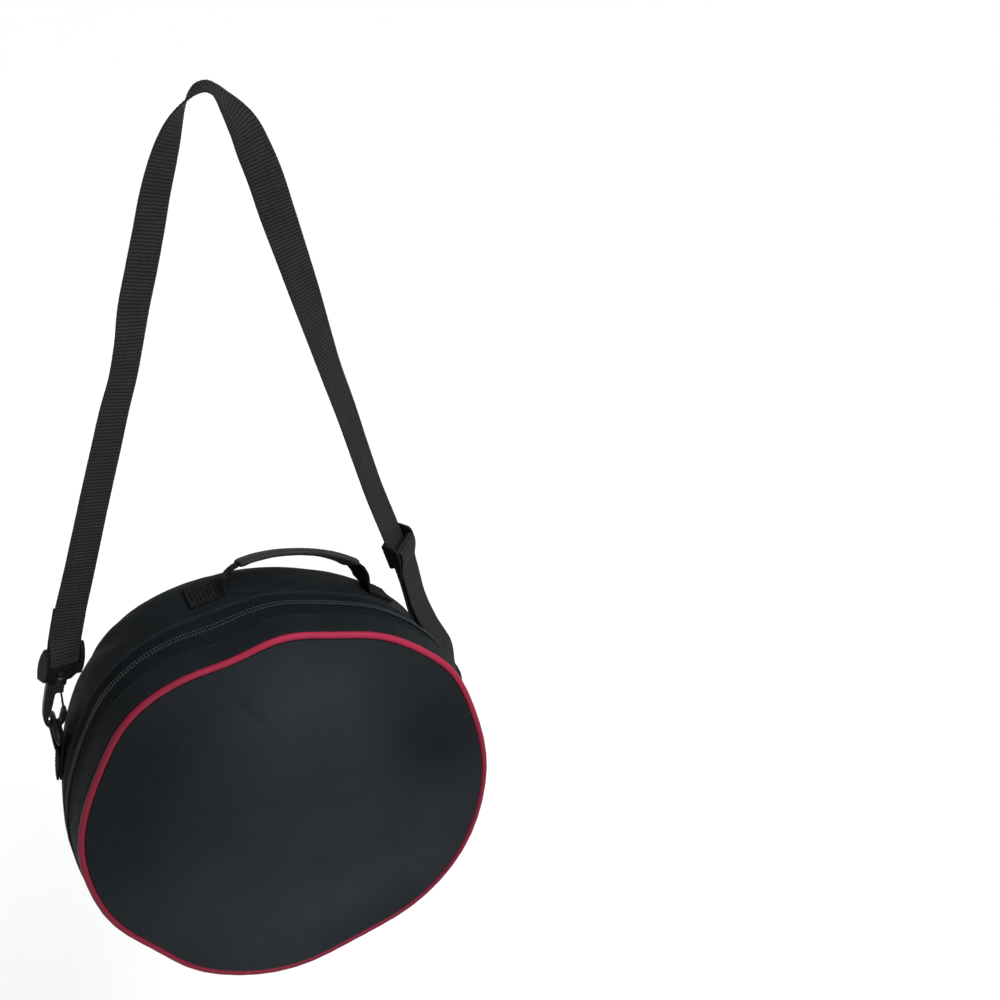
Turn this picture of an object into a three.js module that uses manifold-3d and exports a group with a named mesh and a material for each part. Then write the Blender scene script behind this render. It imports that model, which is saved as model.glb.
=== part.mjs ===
// Scuba regulator bag: a soft round bag of black nylon with red piping, hanging by its shoulder strap.
// The bag has two padded round panels, a gusset band with a zip over its upper part, a carry handle,
// two lugs with D-rings, and an adjustable shoulder strap with a swivel hook at each end.
// Millimetres. Row frame: origin at the top of the hanging strap, +X right, +Y back, +Z up.
// Bag frame: origin at the middle of the bag, Z through the handle; angles are degrees from the top to +X.
import * as THREE from 'three';
import { mergeVertices } from 'three/addons/utils/BufferGeometryUtils.js';
import Module from 'manifold-3d';

const wasm = await Module();
wasm.setup();

// How the bag hangs
const BAG_TILT = 18.26;
const BAG_DROP = 514.4;

// Bag
const SEAM_RADIUS = 152;
const BAG_DEPTH = 118;
const GUSSET_BULGE = 6.5;
const GUSSET_WALL = 3;
const PANEL_WALL = 4;
const FRONT_CROWN = 15;
const BACK_CROWN = 26;
const PIPING_RADIUS = 2.5;
const BACK_TUCK = 12;
const TUCK_START = 0.72;
const GAP = 0.3;

// Zip
const ZIP_Y = -23.5;
const ZIP_END = 110;
const TEETH_WIDTH = 6;
const TAPE_WIDTH = 9;
const TAPE_SINK = 0.8;
const TAPE_WALL = 1.2;
const TEETH_RISE = 0.4;
const TEETH_DROP = 0.6;
const SLIDER_ANGLE = 104.5;

// Handle and lugs, all on one line round the gusset
const BELT_Y = 13;
const WEB_WIDTH = 25;
const HANDLE_WEB = 2;
const HANDLE_AT = -5.3;
const HANDLE_ROUND = 157.4;
const HANDLE_LEAN = 25;
const HANDLE_RIGHT = 0.87;
const GRIP_HALF_ANGLE = 16;
const GRIP_GAP = 0.5;
const GRIP_WALL = 1.3;
const TAB_WEB = 1.8;
const TAB_LENGTH = 32;
const TAB_LOW = 1.25;
const LEFT_LUG_LIFT = 6.3;
const RIGHT_LUG_LIFT = 4.8;
const LUG_REACH = 162;
const LEFT_LUG_ANGLE = -84.7;
const RIGHT_LUG_ANGLE = 84;

// D-rings
const RING_WIRE = 2.2;
const RING_HALF_BAR = 13.2;
const RING_CORNER = 3.4;
const RING_HEIGHT = 12;

// Swivel hooks
const HOOK_THICK = 7;
const HOOK_SHOULDER = 29.9;
const BAR_REACH = 48.2;
const BAR_RADIUS = 2.2;
const BASE_THICK = 6;
const EAR_WIDTH = 3.3;
const BOW_RADIUS = 4;
const BOW_MIDDLE = [0.3, 1.2];
const COLLAR_RADIUS = 5.5;
const POST_RADIUS = 2.4;
const BORE_RADIUS = 2.8;
const HEAD_RADIUS = 4.2;
const LEFT_RING_LEAN = 28.8;
const LEFT_HOOK_LEAN = -3;
const LEFT_TURN = 30;
const RIGHT_RING_LEAN = 17;
const RIGHT_BAR_ANGLE = 60;
const RIGHT_BAR_RADIUS = 156;
const RIGHT_TURN = 122;

// Shoulder strap
const STRAP_WIDTH = 25;
const STRAP_THICK = 1.6;
const FOLD_LENGTH = 42;
const BAR_LOOP = BAR_RADIUS + GAP + STRAP_THICK / 2;
const SLIDER_BAR = 1.6;
const SLIDER_LOOP = SLIDER_BAR + GAP + STRAP_THICK / 2;
const ADJUSTER_BAR_N = STRAP_THICK + GAP + SLIDER_LOOP + 2.6;
const RAIL_THICK = 2;
const INNER_SAG = 3;
const OUTER_BOW = 5;

// Facets: sectors of the rims, and rows round the zipped part and the base of the gusset
const RIM_SECTORS = 54;
const ZIP_ROWS = 43;
const BASE_ROWS = 29;

const CLOTH = { color: 0x1b1b1d, roughness: 0.85, metalness: 0 };
const PANEL_CLOTH = { color: 0x202022, roughness: 0.9, metalness: 0 };
const RED = { color: 0xb81f3a, roughness: 0.55, metalness: 0 };
const WEBBING = { color: 0x151517, roughness: 0.8, metalness: 0 };
const ZIP = { color: 0x121213, roughness: 0.75, metalness: 0 };
const PLASTIC = { color: 0x0e0e0f, roughness: 0.4, metalness: 0 };

// Soft flats and swells of the two rims: a positive depth goes in
const RIM_DENTS = [
  { angle: -56, spread: 24, front: 0, back: -9.5 },
  { angle: -32, spread: 13, front: 8.5, back: -1 },
  { angle: -4, spread: 13, front: 5.5, back: 0 },
  { angle: 9, spread: 26, front: 0, back: 4 },
  { angle: 36, spread: 10, front: -2.2, back: 0 },
  { angle: 58, spread: 12, front: 1.5, back: 0 },
  { angle: 103, spread: 15, front: -1.6, back: -2 },
  { angle: 146, spread: 18.5, front: 8.2, back: 4 },
  { angle: 184, spread: 20, front: 2.3, back: 1 },
  { angle: 213, spread: 14, front: 6, back: 4 },
  { angle: 258, spread: 15, front: -2.4, back: 5 },
  { angle: 297, spread: 12, front: -4, back: 0 },
];

// Folds pressed into the gusset; slant turns a fold from the way round towards the back
const GUSSET_FOLDS = [
  { angle: 62, y: 4, slant: 0, length: 58, width: 30, depth: 17.5 },
  { angle: 43, y: 7, slant: 0, length: 30, width: 16, depth: 10 },
  { angle: 50, y: 36, slant: 35, length: 30, width: 9, depth: 4 },
  { angle: -30, y: -40, slant: 0, length: 28, width: 16, depth: 3.5 },
  { angle: -60, y: 28, slant: -30, length: 30, width: 9, depth: 3.5 },
  { angle: 138, y: 4, slant: 22, length: 42, width: 13, depth: 5 },
  { angle: -140, y: -8, slant: -18, length: 40, width: 13, depth: 4 },
];

// Shallow hollows of the two padded panels
const PANEL_HOLLOWS = [
  { side: -1, x: -66, z: 100, spread: 42, depth: 6 },
  { side: -1, x: 82, z: -96, spread: 44, depth: 6 },
  { side: -1, x: 10, z: 118, spread: 34, depth: 4 },
  { side: -1, x: 90, z: 62, spread: 32, depth: 5 },
  { side: 1, x: 40, z: 104, spread: 46, depth: 5 },
  { side: 1, x: -78, z: -84, spread: 46, depth: 5 },
];

// Half of the handle, from the sewn end to the middle; rise is over a round of HANDLE_ROUND
const HANDLE_HALF = [
  { angle: 31, rise: 0 },
  { angle: 28, rise: 0 },
  { angle: 25.5, rise: 0 },
  { angle: 23.7, rise: 0 },
  { angle: 22.3, rise: 0.6 },
  { angle: 21.2, rise: 2.5 },
  { angle: 20.3, rise: 5.2 },
  { angle: 19.4, rise: 8.2 },
  { angle: 18, rise: 11.2 },
  { angle: 15.8, rise: 13.5 },
  { angle: 12.9, rise: 15.1 },
  { angle: 9.6, rise: 16.1 },
  { angle: 6.4, rise: 16.7 },
  { angle: 3.2, rise: 16.9 },
  { angle: 0, rise: 17 },
];

// Free run of the strap in the row frame; turn 90 lies flat over the hang point, 0 and 180 face the front
const STRAP_RUN = [
  { x: -130.2, z: -350, turn: 20 },
  { x: -120, z: -320.5, turn: 23 },
  { x: -110.4, z: -291.5, turn: 25 },
  { x: -100.9, z: -263, turn: 26 },
  { x: -91.2, z: -234.7, turn: 27 },
  { x: -81.8, z: -207, turn: 29 },
  { x: -73.5, z: -185, turn: 32 },
  { x: -66.5, z: -161, turn: 31 },
  { x: -61, z: -139, turn: 25 },
  { x: -53.2, z: -114.3, turn: 24 },
  { x: -45.4, z: -89, turn: 26 },
  { x: -38.6, z: -66, turn: 29 },
  { x: -32, z: -47.5, turn: 34 },
  { x: -26.2, z: -33, turn: 43 },
  { x: -20.8, z: -21.6, turn: 56 },
  { x: -14.6, z: -12.2, turn: 72 },
  { x: -7.6, z: -5.2, turn: 86 },
  { x: 0, z: -2.6, turn: 98 },
  { x: 6, z: -6.2, turn: 108 },
  { x: 11.3, z: -13, turn: 121 },
  { x: 16.8, z: -20.8, turn: 137 },
  { x: 22.2, z: -29.9, turn: 153 },
  { x: 27.4, z: -44.2, turn: 168 },
  { x: 33.5, z: -63.3, turn: 175 },
  { x: 39, z: -85.4, turn: 175 },
  { x: 46.3, z: -113, turn: 166 },
  { x: 53.9, z: -142, turn: 158 },
  { x: 61.4, z: -171.7, turn: 148 },
  { x: 69.2, z: -202.4, turn: 140 },
  { x: 78.4, z: -234.5, turn: 138 },
  { x: 87, z: -267.5, turn: 136 },
  { x: 96.3, z: -302, turn: 135 },
  { x: 102.6, z: -322, turn: 135 },
];
const ADJUSTER = { x: 112, z: -352, turn: 135 };

const rad = (degrees) => degrees * Math.PI / 180;
const wrapDeg = (degrees) => ((degrees + 180) % 360 + 360) % 360 - 180;
const hump = (distance, spread) => Math.exp(-((distance / spread) ** 2));
const mix = (a, b, t) => a + (b - a) * t;
const smooth = (t) => {
  const k = Math.min(1, Math.max(0, t));
  return k * k * (3 - 2 * k);
};
const steps = (count) => Array.from({ length: count }, (unused, i) => i);
const spread = (from, to, count) => steps(count).map((i) => mix(from, to, i / (count - 1)));
const outward = (theta) => new THREE.Vector3(Math.sin(rad(theta)), 0, Math.cos(rad(theta)));
const upward = (theta) => new THREE.Vector3(-Math.cos(rad(theta)), 0, Math.sin(rad(theta)));
const BACK = new THREE.Vector3(0, 1, 0);

const bagFrame = new THREE.Matrix4().makeRotationY(rad(BAG_TILT));
bagFrame.setPosition(0, -BELT_Y, -BAG_DROP);

// Surfaces of the bag

// Radius of the seam line; v runs from 0 at the front rim to 1 at the back rim, which is drawn in
function seamRadius(theta, v) {
  const tuck = Math.max(0, (v - TUCK_START) / (1 - TUCK_START));
  let radius = SEAM_RADIUS - BACK_TUCK * tuck ** 2;
  for (const dent of RIM_DENTS) {
    radius -= mix(dent.front, dent.back, v) * hump(wrapDeg(theta - dent.angle), dent.spread);
  }
  return radius;
}

function gussetRadius(theta, y) {
  const v = (y + BAG_DEPTH / 2) / BAG_DEPTH;
  const swell = 4 * v * (1 - v);
  let radius = seamRadius(theta, v) + GUSSET_BULGE * swell;
  for (const fold of GUSSET_FOLDS) {
    const along = rad(wrapDeg(theta - fold.angle)) * SEAM_RADIUS;
    const across = y - fold.y;
    const c = Math.cos(rad(fold.slant));
    const s = Math.sin(rad(fold.slant));
    const press = hump(along * c + across * s, fold.length) * hump(across * c - along * s, fold.width);
    radius -= fold.depth * press * Math.min(1, 1.5 * swell);
  }
  return radius;
}

// Point over the outer face of the gusset; lift 0 is on the face
function gussetPoint(theta, y, lift) {
  const point = outward(theta).multiplyScalar(gussetRadius(theta, y) + GUSSET_WALL / 2 + lift);
  point.y = y;
  return point;
}

function panelPoint(side, theta, rho, lift) {
  const crown = side < 0 ? FRONT_CROWN : BACK_CROWN;
  const reach = seamRadius(theta, (side + 1) / 2) - PIPING_RADIUS - GAP;
  const point = outward(theta).multiplyScalar(reach * rho);
  let rise = crown * (1 - rho ** 2.4);
  for (const hollow of PANEL_HOLLOWS) {
    if (hollow.side !== side) continue;
    const far = Math.hypot(point.x - hollow.x, point.z - hollow.z);
    rise -= hollow.depth * hump(far, hollow.spread) * (1 - rho ** 4);
  }
  point.y = side * (BAG_DEPTH / 2 + rise + lift);
  return point;
}

// Builders of closed bodies

function closedBody(points, faces) {
  let volume = 0;
  for (const [a, b, c] of faces) {
    volume += points[a].dot(points[b].clone().cross(points[c]));
  }
  const turned = volume < 0 ? faces.map(([a, b, c]) => [a, c, b]) : faces;
  const geometry = new THREE.BufferGeometry();
  geometry.setAttribute('position', new THREE.Float32BufferAttribute(points.flatMap((p) => p.toArray()), 3));
  geometry.setIndex(turned.flat());
  return geometry;
}

// Wall between two grids of points, outer[i][j] and inner[i][j]; a ring joins its last row to its first
function wallBody(outer, inner, ring = false) {
  const rows = outer.length;
  const columns = outer[0].length;
  const points = [...outer.flat(), ...inner.flat()];
  const out = (i, j) => (i % rows) * columns + j;
  const into = (i, j) => rows * columns + out(i, j);
  const faces = [];
  const quad = (a, b, c, d) => faces.push([a, b, c], [a, c, d]);
  const spans = ring ? rows : rows - 1;
  for (let i = 0; i < spans; i += 1) {
    for (let j = 0; j < columns - 1; j += 1) {
      quad(out(i, j), out(i + 1, j), out(i + 1, j + 1), out(i, j + 1));
      quad(into(i, j), into(i, j + 1), into(i + 1, j + 1), into(i + 1, j));
    }
    quad(out(i, 0), into(i, 0), into(i + 1, 0), out(i + 1, 0));
    quad(out(i, columns - 1), out(i + 1, columns - 1), into(i + 1, columns - 1), into(i, columns - 1));
  }
  if (!ring) {
    for (let j = 0; j < columns - 1; j += 1) {
      quad(out(0, j), out(0, j + 1), into(0, j + 1), into(0, j));
      const last = rows - 1;
      quad(out(last, j), into(last, j), into(last, j + 1), out(last, j + 1));
    }
  }
  return closedBody(points, faces);
}

// Round wire along a closed loop of points; sideOf gives two directions across the wire at each point
function loopBody(path, radius, sides, sideOf) {
  const points = path.flatMap((centre, i) => {
    const [a, b] = sideOf(i);
    return steps(sides).map((k) => {
      const turn = 2 * Math.PI * k / sides;
      return centre.clone()
        .addScaledVector(a, radius * Math.cos(turn))
        .addScaledVector(b, radius * Math.sin(turn));
    });
  });
  const at = (i, k) => (i % path.length) * sides + (k % sides);
  const faces = [];
  for (let i = 0; i < path.length; i += 1) {
    for (let k = 0; k < sides; k += 1) {
      faces.push([at(i, k), at(i + 1, k), at(i + 1, k + 1)], [at(i, k), at(i + 1, k + 1), at(i, k + 1)]);
    }
  }
  return closedBody(points, faces);
}

// Flat band along stations { at, wide }, wide being the direction across the band
function ribbonBody(stations, width, thick) {
  const last = stations.length - 1;
  const face = (sign) => stations.map(({ at, wide }, i) => {
    const before = stations[Math.max(0, i - 1)].at;
    const after = stations[Math.min(last, i + 1)].at;
    const along = after.clone().sub(before).normalize();
    const normal = along.clone().cross(wide).normalize();
    const middle = at.clone().addScaledVector(normal, sign * thick / 2);
    return [-1, 1].map((s) => middle.clone().addScaledVector(wide, s * width / 2));
  });
  return wallBody(face(1), face(-1));
}

function plainGeometry(geometry) {
  const copy = geometry.clone();
  copy.deleteAttribute('normal');
  copy.deleteAttribute('uv');
  return mergeVertices(copy, 1e-4);
}

function solidOf(geometry) {
  const plain = plainGeometry(geometry);
  return new wasm.Manifold(new wasm.Mesh({
    numProp: 3,
    vertProperties: new Float32Array(plain.attributes.position.array),
    triVerts: new Uint32Array(plain.index.array),
  }));
}

function geometryOf(solid) {
  const mesh = solid.getMesh();
  const geometry = new THREE.BufferGeometry();
  geometry.setAttribute('position', new THREE.Float32BufferAttribute(mesh.vertProperties, 3));
  geometry.setIndex(Array.from(mesh.triVerts));
  return geometry;
}

// Plate cut from an outline, centred on its thickness, with softened edges
function plate(outline, thick, bevel) {
  const shape = new THREE.Shape(outline.map(([x, y]) => new THREE.Vector2(x, y)));
  const geometry = new THREE.ExtrudeGeometry(shape, {
    depth: thick - 2 * bevel,
    bevelEnabled: bevel > 0,
    bevelThickness: bevel,
    bevelSize: bevel,
    bevelOffset: -bevel,
    bevelSegments: 1,
    steps: 1,
  });
  return geometry.translate(0, 0, -thick / 2 + bevel);
}

function rod(radius, from, to, sides) {
  const geometry = new THREE.CylinderGeometry(radius, radius, to - from, sides);
  return geometry.translate(0, (from + to) / 2, 0);
}

const row = new THREE.Group();
row.name = 'scuba_regulator_bag';

function place(name, geometry, finish, matrix) {
  const plain = plainGeometry(geometry);
  if (matrix) plain.applyMatrix4(matrix);
  plain.computeVertexNormals();
  const mesh = new THREE.Mesh(plain, new THREE.MeshStandardMaterial({ ...finish, name: `${name}_finish` }));
  mesh.name = name;
  row.add(mesh);
}

// Padded round panels

function panelBody(side) {
  const sectors = RIM_SECTORS;
  const rings = [0.36, 0.66, 0.88, 1];
  const points = [];
  for (const lift of [PANEL_WALL / 2, -PANEL_WALL / 2]) {
    points.push(panelPoint(side, 0, 0, lift));
    for (const rho of rings) {
      for (let k = 0; k < sectors; k += 1) points.push(panelPoint(side, 360 * k / sectors, rho, lift));
    }
  }
  const count = 1 + rings.length * sectors;
  const at = (layer, ring, k) => layer * count + 1 + ring * sectors + (k % sectors);
  const faces = [];
  for (let k = 0; k < sectors; k += 1) {
    faces.push([0, at(0, 0, k), at(0, 0, k + 1)], [count, at(1, 0, k + 1), at(1, 0, k)]);
    for (let r = 0; r < rings.length - 1; r += 1) {
      faces.push([at(0, r, k), at(0, r + 1, k), at(0, r + 1, k + 1)]);
      faces.push([at(0, r, k), at(0, r + 1, k + 1), at(0, r, k + 1)]);
      faces.push([at(1, r, k), at(1, r + 1, k + 1), at(1, r + 1, k)]);
      faces.push([at(1, r, k), at(1, r, k + 1), at(1, r + 1, k + 1)]);
    }
    const rim = rings.length - 1;
    faces.push([at(0, rim, k), at(1, rim, k), at(1, rim, k + 1)]);
    faces.push([at(0, rim, k), at(1, rim, k + 1), at(0, rim, k + 1)]);
  }
  return closedBody(points, faces);
}

place('front_panel', panelBody(-1), PANEL_CLOTH, bagFrame);
place('back_panel', panelBody(1), PANEL_CLOTH, bagFrame);

// Red piping round both rims

function pipingBody(side) {
  const angles = steps(RIM_SECTORS).map((i) => 360 * i / RIM_SECTORS);
  const path = angles.map((theta) => {
    const point = outward(theta).multiplyScalar(seamRadius(theta, (side + 1) / 2));
    point.y = side * BAG_DEPTH / 2;
    return point;
  });
  return loopBody(path, PIPING_RADIUS, 6, (i) => [outward(angles[i]), BACK]);
}

place('piping_front', pipingBody(-1), RED, bagFrame);
place('piping_back', pipingBody(1), RED, bagFrame);

// Gusset bands, zip tapes and teeth, all parts of one surface

function gussetBand(fromAngle, toAngle, rows, fromY, toY, columns, top, bottom) {
  const grid = (lift) => spread(fromAngle, toAngle, rows)
    .map((theta) => spread(fromY, toY, columns).map((y) => gussetPoint(theta, y, lift)));
  return wallBody(grid(top), grid(bottom));
}

const HALF_DEPTH = BAG_DEPTH / 2;
const SEAM_CLEAR = PIPING_RADIUS + GAP;
const TEETH_EDGE = TEETH_WIDTH / 2 + GAP;
const TAPE_EDGE = TEETH_EDGE + TAPE_WIDTH;
const END_GAP = 0.12;

place('gusset_front', gussetBand(-ZIP_END, ZIP_END, ZIP_ROWS,
  -HALF_DEPTH + SEAM_CLEAR, ZIP_Y - TAPE_EDGE - GAP, 3, 0, -GUSSET_WALL), CLOTH, bagFrame);
place('gusset_back', gussetBand(-ZIP_END, ZIP_END, ZIP_ROWS,
  ZIP_Y + TAPE_EDGE + GAP, HALF_DEPTH - SEAM_CLEAR, 7, 0, -GUSSET_WALL), CLOTH, bagFrame);
place('gusset_base', gussetBand(ZIP_END + END_GAP, 360 - ZIP_END - END_GAP, BASE_ROWS,
  -HALF_DEPTH + SEAM_CLEAR, HALF_DEPTH - SEAM_CLEAR, 9, 0, -GUSSET_WALL), CLOTH, bagFrame);
place('zip_tape_front', gussetBand(-ZIP_END, ZIP_END, ZIP_ROWS,
  ZIP_Y - TAPE_EDGE, ZIP_Y - TEETH_EDGE, 2, -TAPE_SINK, -TAPE_SINK - TAPE_WALL), ZIP, bagFrame);
place('zip_tape_back', gussetBand(-ZIP_END, ZIP_END, ZIP_ROWS,
  ZIP_Y + TEETH_EDGE, ZIP_Y + TAPE_EDGE, 2, -TAPE_SINK, -TAPE_SINK - TAPE_WALL), ZIP, bagFrame);
place('zip_teeth', gussetBand(-ZIP_END, ZIP_END, ZIP_ROWS,
  ZIP_Y - TEETH_WIDTH / 2, ZIP_Y + TEETH_WIDTH / 2, 2,
  TEETH_RISE, -TAPE_SINK - TAPE_WALL - TEETH_DROP), ZIP, bagFrame);

// Zip slider with its pull, closed at the low right end

function zipSliderBody() {
  const body = plate([[-4.6, -6], [4.6, -6], [5.4, 2], [3.6, 6.5], [-3.6, 6.5], [-5.4, 2]], 3.4, 0.7);
  body.translate(0, 0, 1.7);
  const pull = plate([[-3.4, -4], [3.4, -4], [4.2, -22], [3, -25], [-3, -25], [-4.2, -22]], 1.8, 0.4);
  pull.translate(0, 0, 4.1);
  const bail = plate([[-2, -3.5], [2, -3.5], [2, 3], [-2, 3]], 3, 0.5);
  bail.translate(0, 0, 4.2);
  return geometryOf(solidOf(body).add(solidOf(bail)).add(solidOf(pull)));
}

const sliderFrame = new THREE.Matrix4().makeBasis(
  BACK, upward(SLIDER_ANGLE), outward(SLIDER_ANGLE));
sliderFrame.setPosition(gussetPoint(SLIDER_ANGLE, ZIP_Y, TEETH_RISE + GAP));
place('zip_slider', zipSliderBody(), PLASTIC, new THREE.Matrix4().multiplyMatrices(bagFrame, sliderFrame));

// Carry handle: webbing sewn down at both ends, with a padded sleeve round its middle

// The right half is drawn in a little, and the rows run from the left sewn end to the right one
function handleSide(half, reach) {
  return half.map(({ angle, rise }) => ({ turn: angle * reach, angle: HANDLE_AT + angle * reach, rise }));
}

const handleRows = [
  ...handleSide(HANDLE_HALF, -1),
  ...handleSide(HANDLE_HALF.slice(0, -1).reverse(), HANDLE_RIGHT),
];

function handleFrame(i) {
  const { angle, rise } = handleRows[i];
  const loose = smooth(rise / 8);
  const lean = rad(HANDLE_LEAN * loose);
  const stand = outward(angle).multiplyScalar(Math.cos(lean)).addScaledVector(BACK, Math.sin(lean));
  const wide = outward(angle).multiplyScalar(-Math.sin(lean)).addScaledVector(BACK, Math.cos(lean));
  const foot = mix(gussetRadius(angle, BELT_Y) + GUSSET_WALL / 2, HANDLE_ROUND, loose);
  const at = outward(angle).multiplyScalar(foot).setY(BELT_Y).addScaledVector(stand, rise);
  return { angle, loose, at, wide };
}

const handleFrames = handleRows.map((unused, i) => handleFrame(i));

function handleNormal(i) {
  const before = handleFrames[Math.max(0, i - 1)].at;
  const after = handleFrames[Math.min(handleFrames.length - 1, i + 1)].at;
  const along = after.clone().sub(before).normalize();
  return along.cross(handleFrames[i].wide).normalize();
}

function handlePoint(i, s, height) {
  const { angle, loose, at, wide } = handleFrames[i];
  const settle = gussetRadius(angle, BELT_Y + s) - gussetRadius(angle, BELT_Y);
  return at.clone()
    .addScaledVector(wide, s)
    .addScaledVector(handleNormal(i), height)
    .addScaledVector(outward(angle), settle * (1 - loose));
}

function handleWebBody() {
  const across = [-WEB_WIDTH / 2, 0, WEB_WIDTH / 2];
  const face = (height) => handleRows.map((unused, i) => across.map((s) => handlePoint(i, s, height)));
  return wallBody(face(GAP + HANDLE_WEB), face(GAP));
}

function handleGripBody() {
  const held = steps(handleRows.length).filter((i) => {
    const { turn } = handleRows[i];
    return turn > -GRIP_HALF_ANGLE && turn < GRIP_HALF_ANGLE * HANDLE_RIGHT;
  });
  const middle = GAP + HANDLE_WEB / 2;
  const oval = (halfWidth, halfHeight, soft) => steps(10).map((k) => {
    const turn = 2 * Math.PI * (k + 0.5) / 10;
    const rounded = (part) => Math.sign(part) * Math.abs(part) ** soft;
    return { s: halfWidth * rounded(Math.cos(turn)), h: middle + halfHeight * rounded(Math.sin(turn)) };
  });
  const skin = (section) => section.map(({ s, h }) => held.map((i) => handlePoint(i, s, h)));
  const inside = { halfWidth: WEB_WIDTH / 2 + 0.9, halfHeight: HANDLE_WEB / 2 + GRIP_GAP };
  return wallBody(
    skin(oval(inside.halfWidth + GRIP_WALL * 0.8, inside.halfHeight + GRIP_WALL, 0.55)),
    skin(oval(inside.halfWidth, inside.halfHeight, 0.35)),
    true);
}

place('handle_web', handleWebBody(), WEBBING, bagFrame);
place('handle_grip', handleGripBody(), CLOTH, bagFrame);

// Lug tabs: a folded band sewn to the gusset, its loop round the straight side of the ring

// Highest radius of the gusset under the width of a tab
function tabRadius(theta) {
  return Math.max(...spread(-WEB_WIDTH / 2, WEB_WIDTH / 2, 5).map((w) => gussetRadius(theta, BELT_Y + w)));
}

function tabPoint(theta, w, h, sewn) {
  const settle = (gussetRadius(theta, BELT_Y + w) - tabRadius(theta)) * sewn;
  const point = outward(theta).multiplyScalar(tabRadius(theta) + settle + GUSSET_WALL / 2 + h);
  point.y = BELT_Y + w;
  return point;
}

function tabBody(lugAngle, lift) {
  const side = Math.sign(lugAngle);
  const bend = RING_WIRE + 1.5 * GAP + TAB_WEB / 2;
  const under = (s) => mix(lift - bend, TAB_LOW, smooth((s - 3) / 18));
  const over = (s) => under(s) + TAB_WEB + GAP;
  const path = [
    ...spread(TAB_LENGTH, 3, 7).map((s) => ({ s, h: under(s) })),
    ...spread(-90, 75, 11).map((turn) => ({
      s: -bend * Math.cos(rad(turn)),
      h: lift + bend * Math.sin(rad(turn)),
    })),
    { s: 3.4, h: mix(over(3.4), lift + bend, 0.8) },
    { s: 7.5, h: mix(over(7.5), lift + bend, 0.42) },
    { s: 11.5, h: mix(over(11.5), lift + bend, 0.12) },
    ...spread(15.5, TAB_LENGTH, 4).map((s) => ({ s, h: over(s) })),
  ];
  const across = [-WEB_WIDTH / 2, 0, WEB_WIDTH / 2];
  const face = (sign) => path.map((unused, i) => {
    const before = path[Math.max(0, i - 1)];
    const after = path[Math.min(path.length - 1, i + 1)];
    const length = Math.hypot(after.s - before.s, after.h - before.h);
    const s = path[i].s - sign * (after.h - before.h) / length * TAB_WEB / 2;
    const h = path[i].h + sign * (after.s - before.s) / length * TAB_WEB / 2;
    const theta = lugAngle + side * s / rad(LUG_REACH);
    return across.map((w) => tabPoint(theta, w, h, smooth((s - 3) / 12)));
  });
  return wallBody(face(1), face(-1));
}

place('lug_tab_left', tabBody(LEFT_LUG_ANGLE, LEFT_LUG_LIFT), WEBBING, bagFrame);
place('lug_tab_right', tabBody(RIGHT_LUG_ANGLE, RIGHT_LUG_LIFT), WEBBING, bagFrame);

// D-rings, drawn with the straight side along X and the bow up Y

function ringPath() {
  const corner = (from, to, x) => spread(from, to, 4)
    .map((turn) => [x + RING_CORNER * Math.cos(rad(turn)), RING_CORNER + RING_CORNER * Math.sin(rad(turn))]);
  const reach = RING_HALF_BAR + RING_CORNER;
  const rise = RING_HEIGHT - RING_CORNER;
  const bow = spread(0, 180, 13).slice(1, -1)
    .map((turn) => [reach * Math.cos(rad(turn)), RING_CORNER + rise * Math.sin(rad(turn))]);
  const flat = [
    [-RING_HALF_BAR / 2, 0], [0, 0], [RING_HALF_BAR / 2, 0],
    ...corner(-90, 0, RING_HALF_BAR), ...bow, ...corner(180, 270, -RING_HALF_BAR),
  ];
  return flat.map(([x, y]) => new THREE.Vector3(x, y, 0));
}

function ringBody() {
  const path = ringPath();
  const count = path.length;
  return loopBody(path, RING_WIRE, 8, (i) => {
    const along = path[(i + 1) % count].clone().sub(path[(i + count - 1) % count]).normalize();
    return [new THREE.Vector3(along.y, -along.x, 0), new THREE.Vector3(0, 0, 1)];
  });
}

// Frames of the two ends: ring, hook and strap bar, in the bag frame

function endFrames(ringFoot, ringUp, hookUp, gateSide) {
  const ringTop = ringFoot.clone().addScaledVector(ringUp, RING_HEIGHT);
  const bar = ringTop.clone().addScaledVector(hookUp, BAR_REACH);
  const ring = new THREE.Matrix4().makeBasis(BACK, ringUp, BACK.clone().cross(ringUp)).setPosition(ringFoot);
  const thick = BACK.clone().multiplyScalar(-gateSide);
  const across = hookUp.clone().cross(thick).normalize();
  const hook = new THREE.Matrix4().makeBasis(across, hookUp, thick).setPosition(ringTop);
  return { ring, hook, bar, hookUp, across };
}

function ringRise(lugAngle, lean) {
  return upward(lugAngle).multiplyScalar(Math.sign(lugAngle) * Math.cos(rad(lean)))
    .addScaledVector(outward(lugAngle), Math.sin(rad(lean)));
}

const leftFoot = tabPoint(LEFT_LUG_ANGLE, 0, LEFT_LUG_LIFT, 0);
const leftRingUp = ringRise(LEFT_LUG_ANGLE, LEFT_RING_LEAN);
const leftHookUp = new THREE.Vector3(Math.sin(rad(LEFT_HOOK_LEAN)), 0, Math.cos(rad(LEFT_HOOK_LEAN)));
const leftEnd = endFrames(leftFoot, leftRingUp, leftHookUp, 1);

const rightFoot = tabPoint(RIGHT_LUG_ANGLE, 0, RIGHT_LUG_LIFT, 0);
const rightRingUp = ringRise(RIGHT_LUG_ANGLE, RIGHT_RING_LEAN);
const rightTop = rightFoot.clone().addScaledVector(rightRingUp, RING_HEIGHT);
const rightBarAim = outward(RIGHT_BAR_ANGLE).multiplyScalar(RIGHT_BAR_RADIUS).setY(BELT_Y);
const rightHookUp = rightBarAim.sub(rightTop).normalize();
const rightEnd = endFrames(rightFoot, rightRingUp, rightHookUp, -1);

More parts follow.
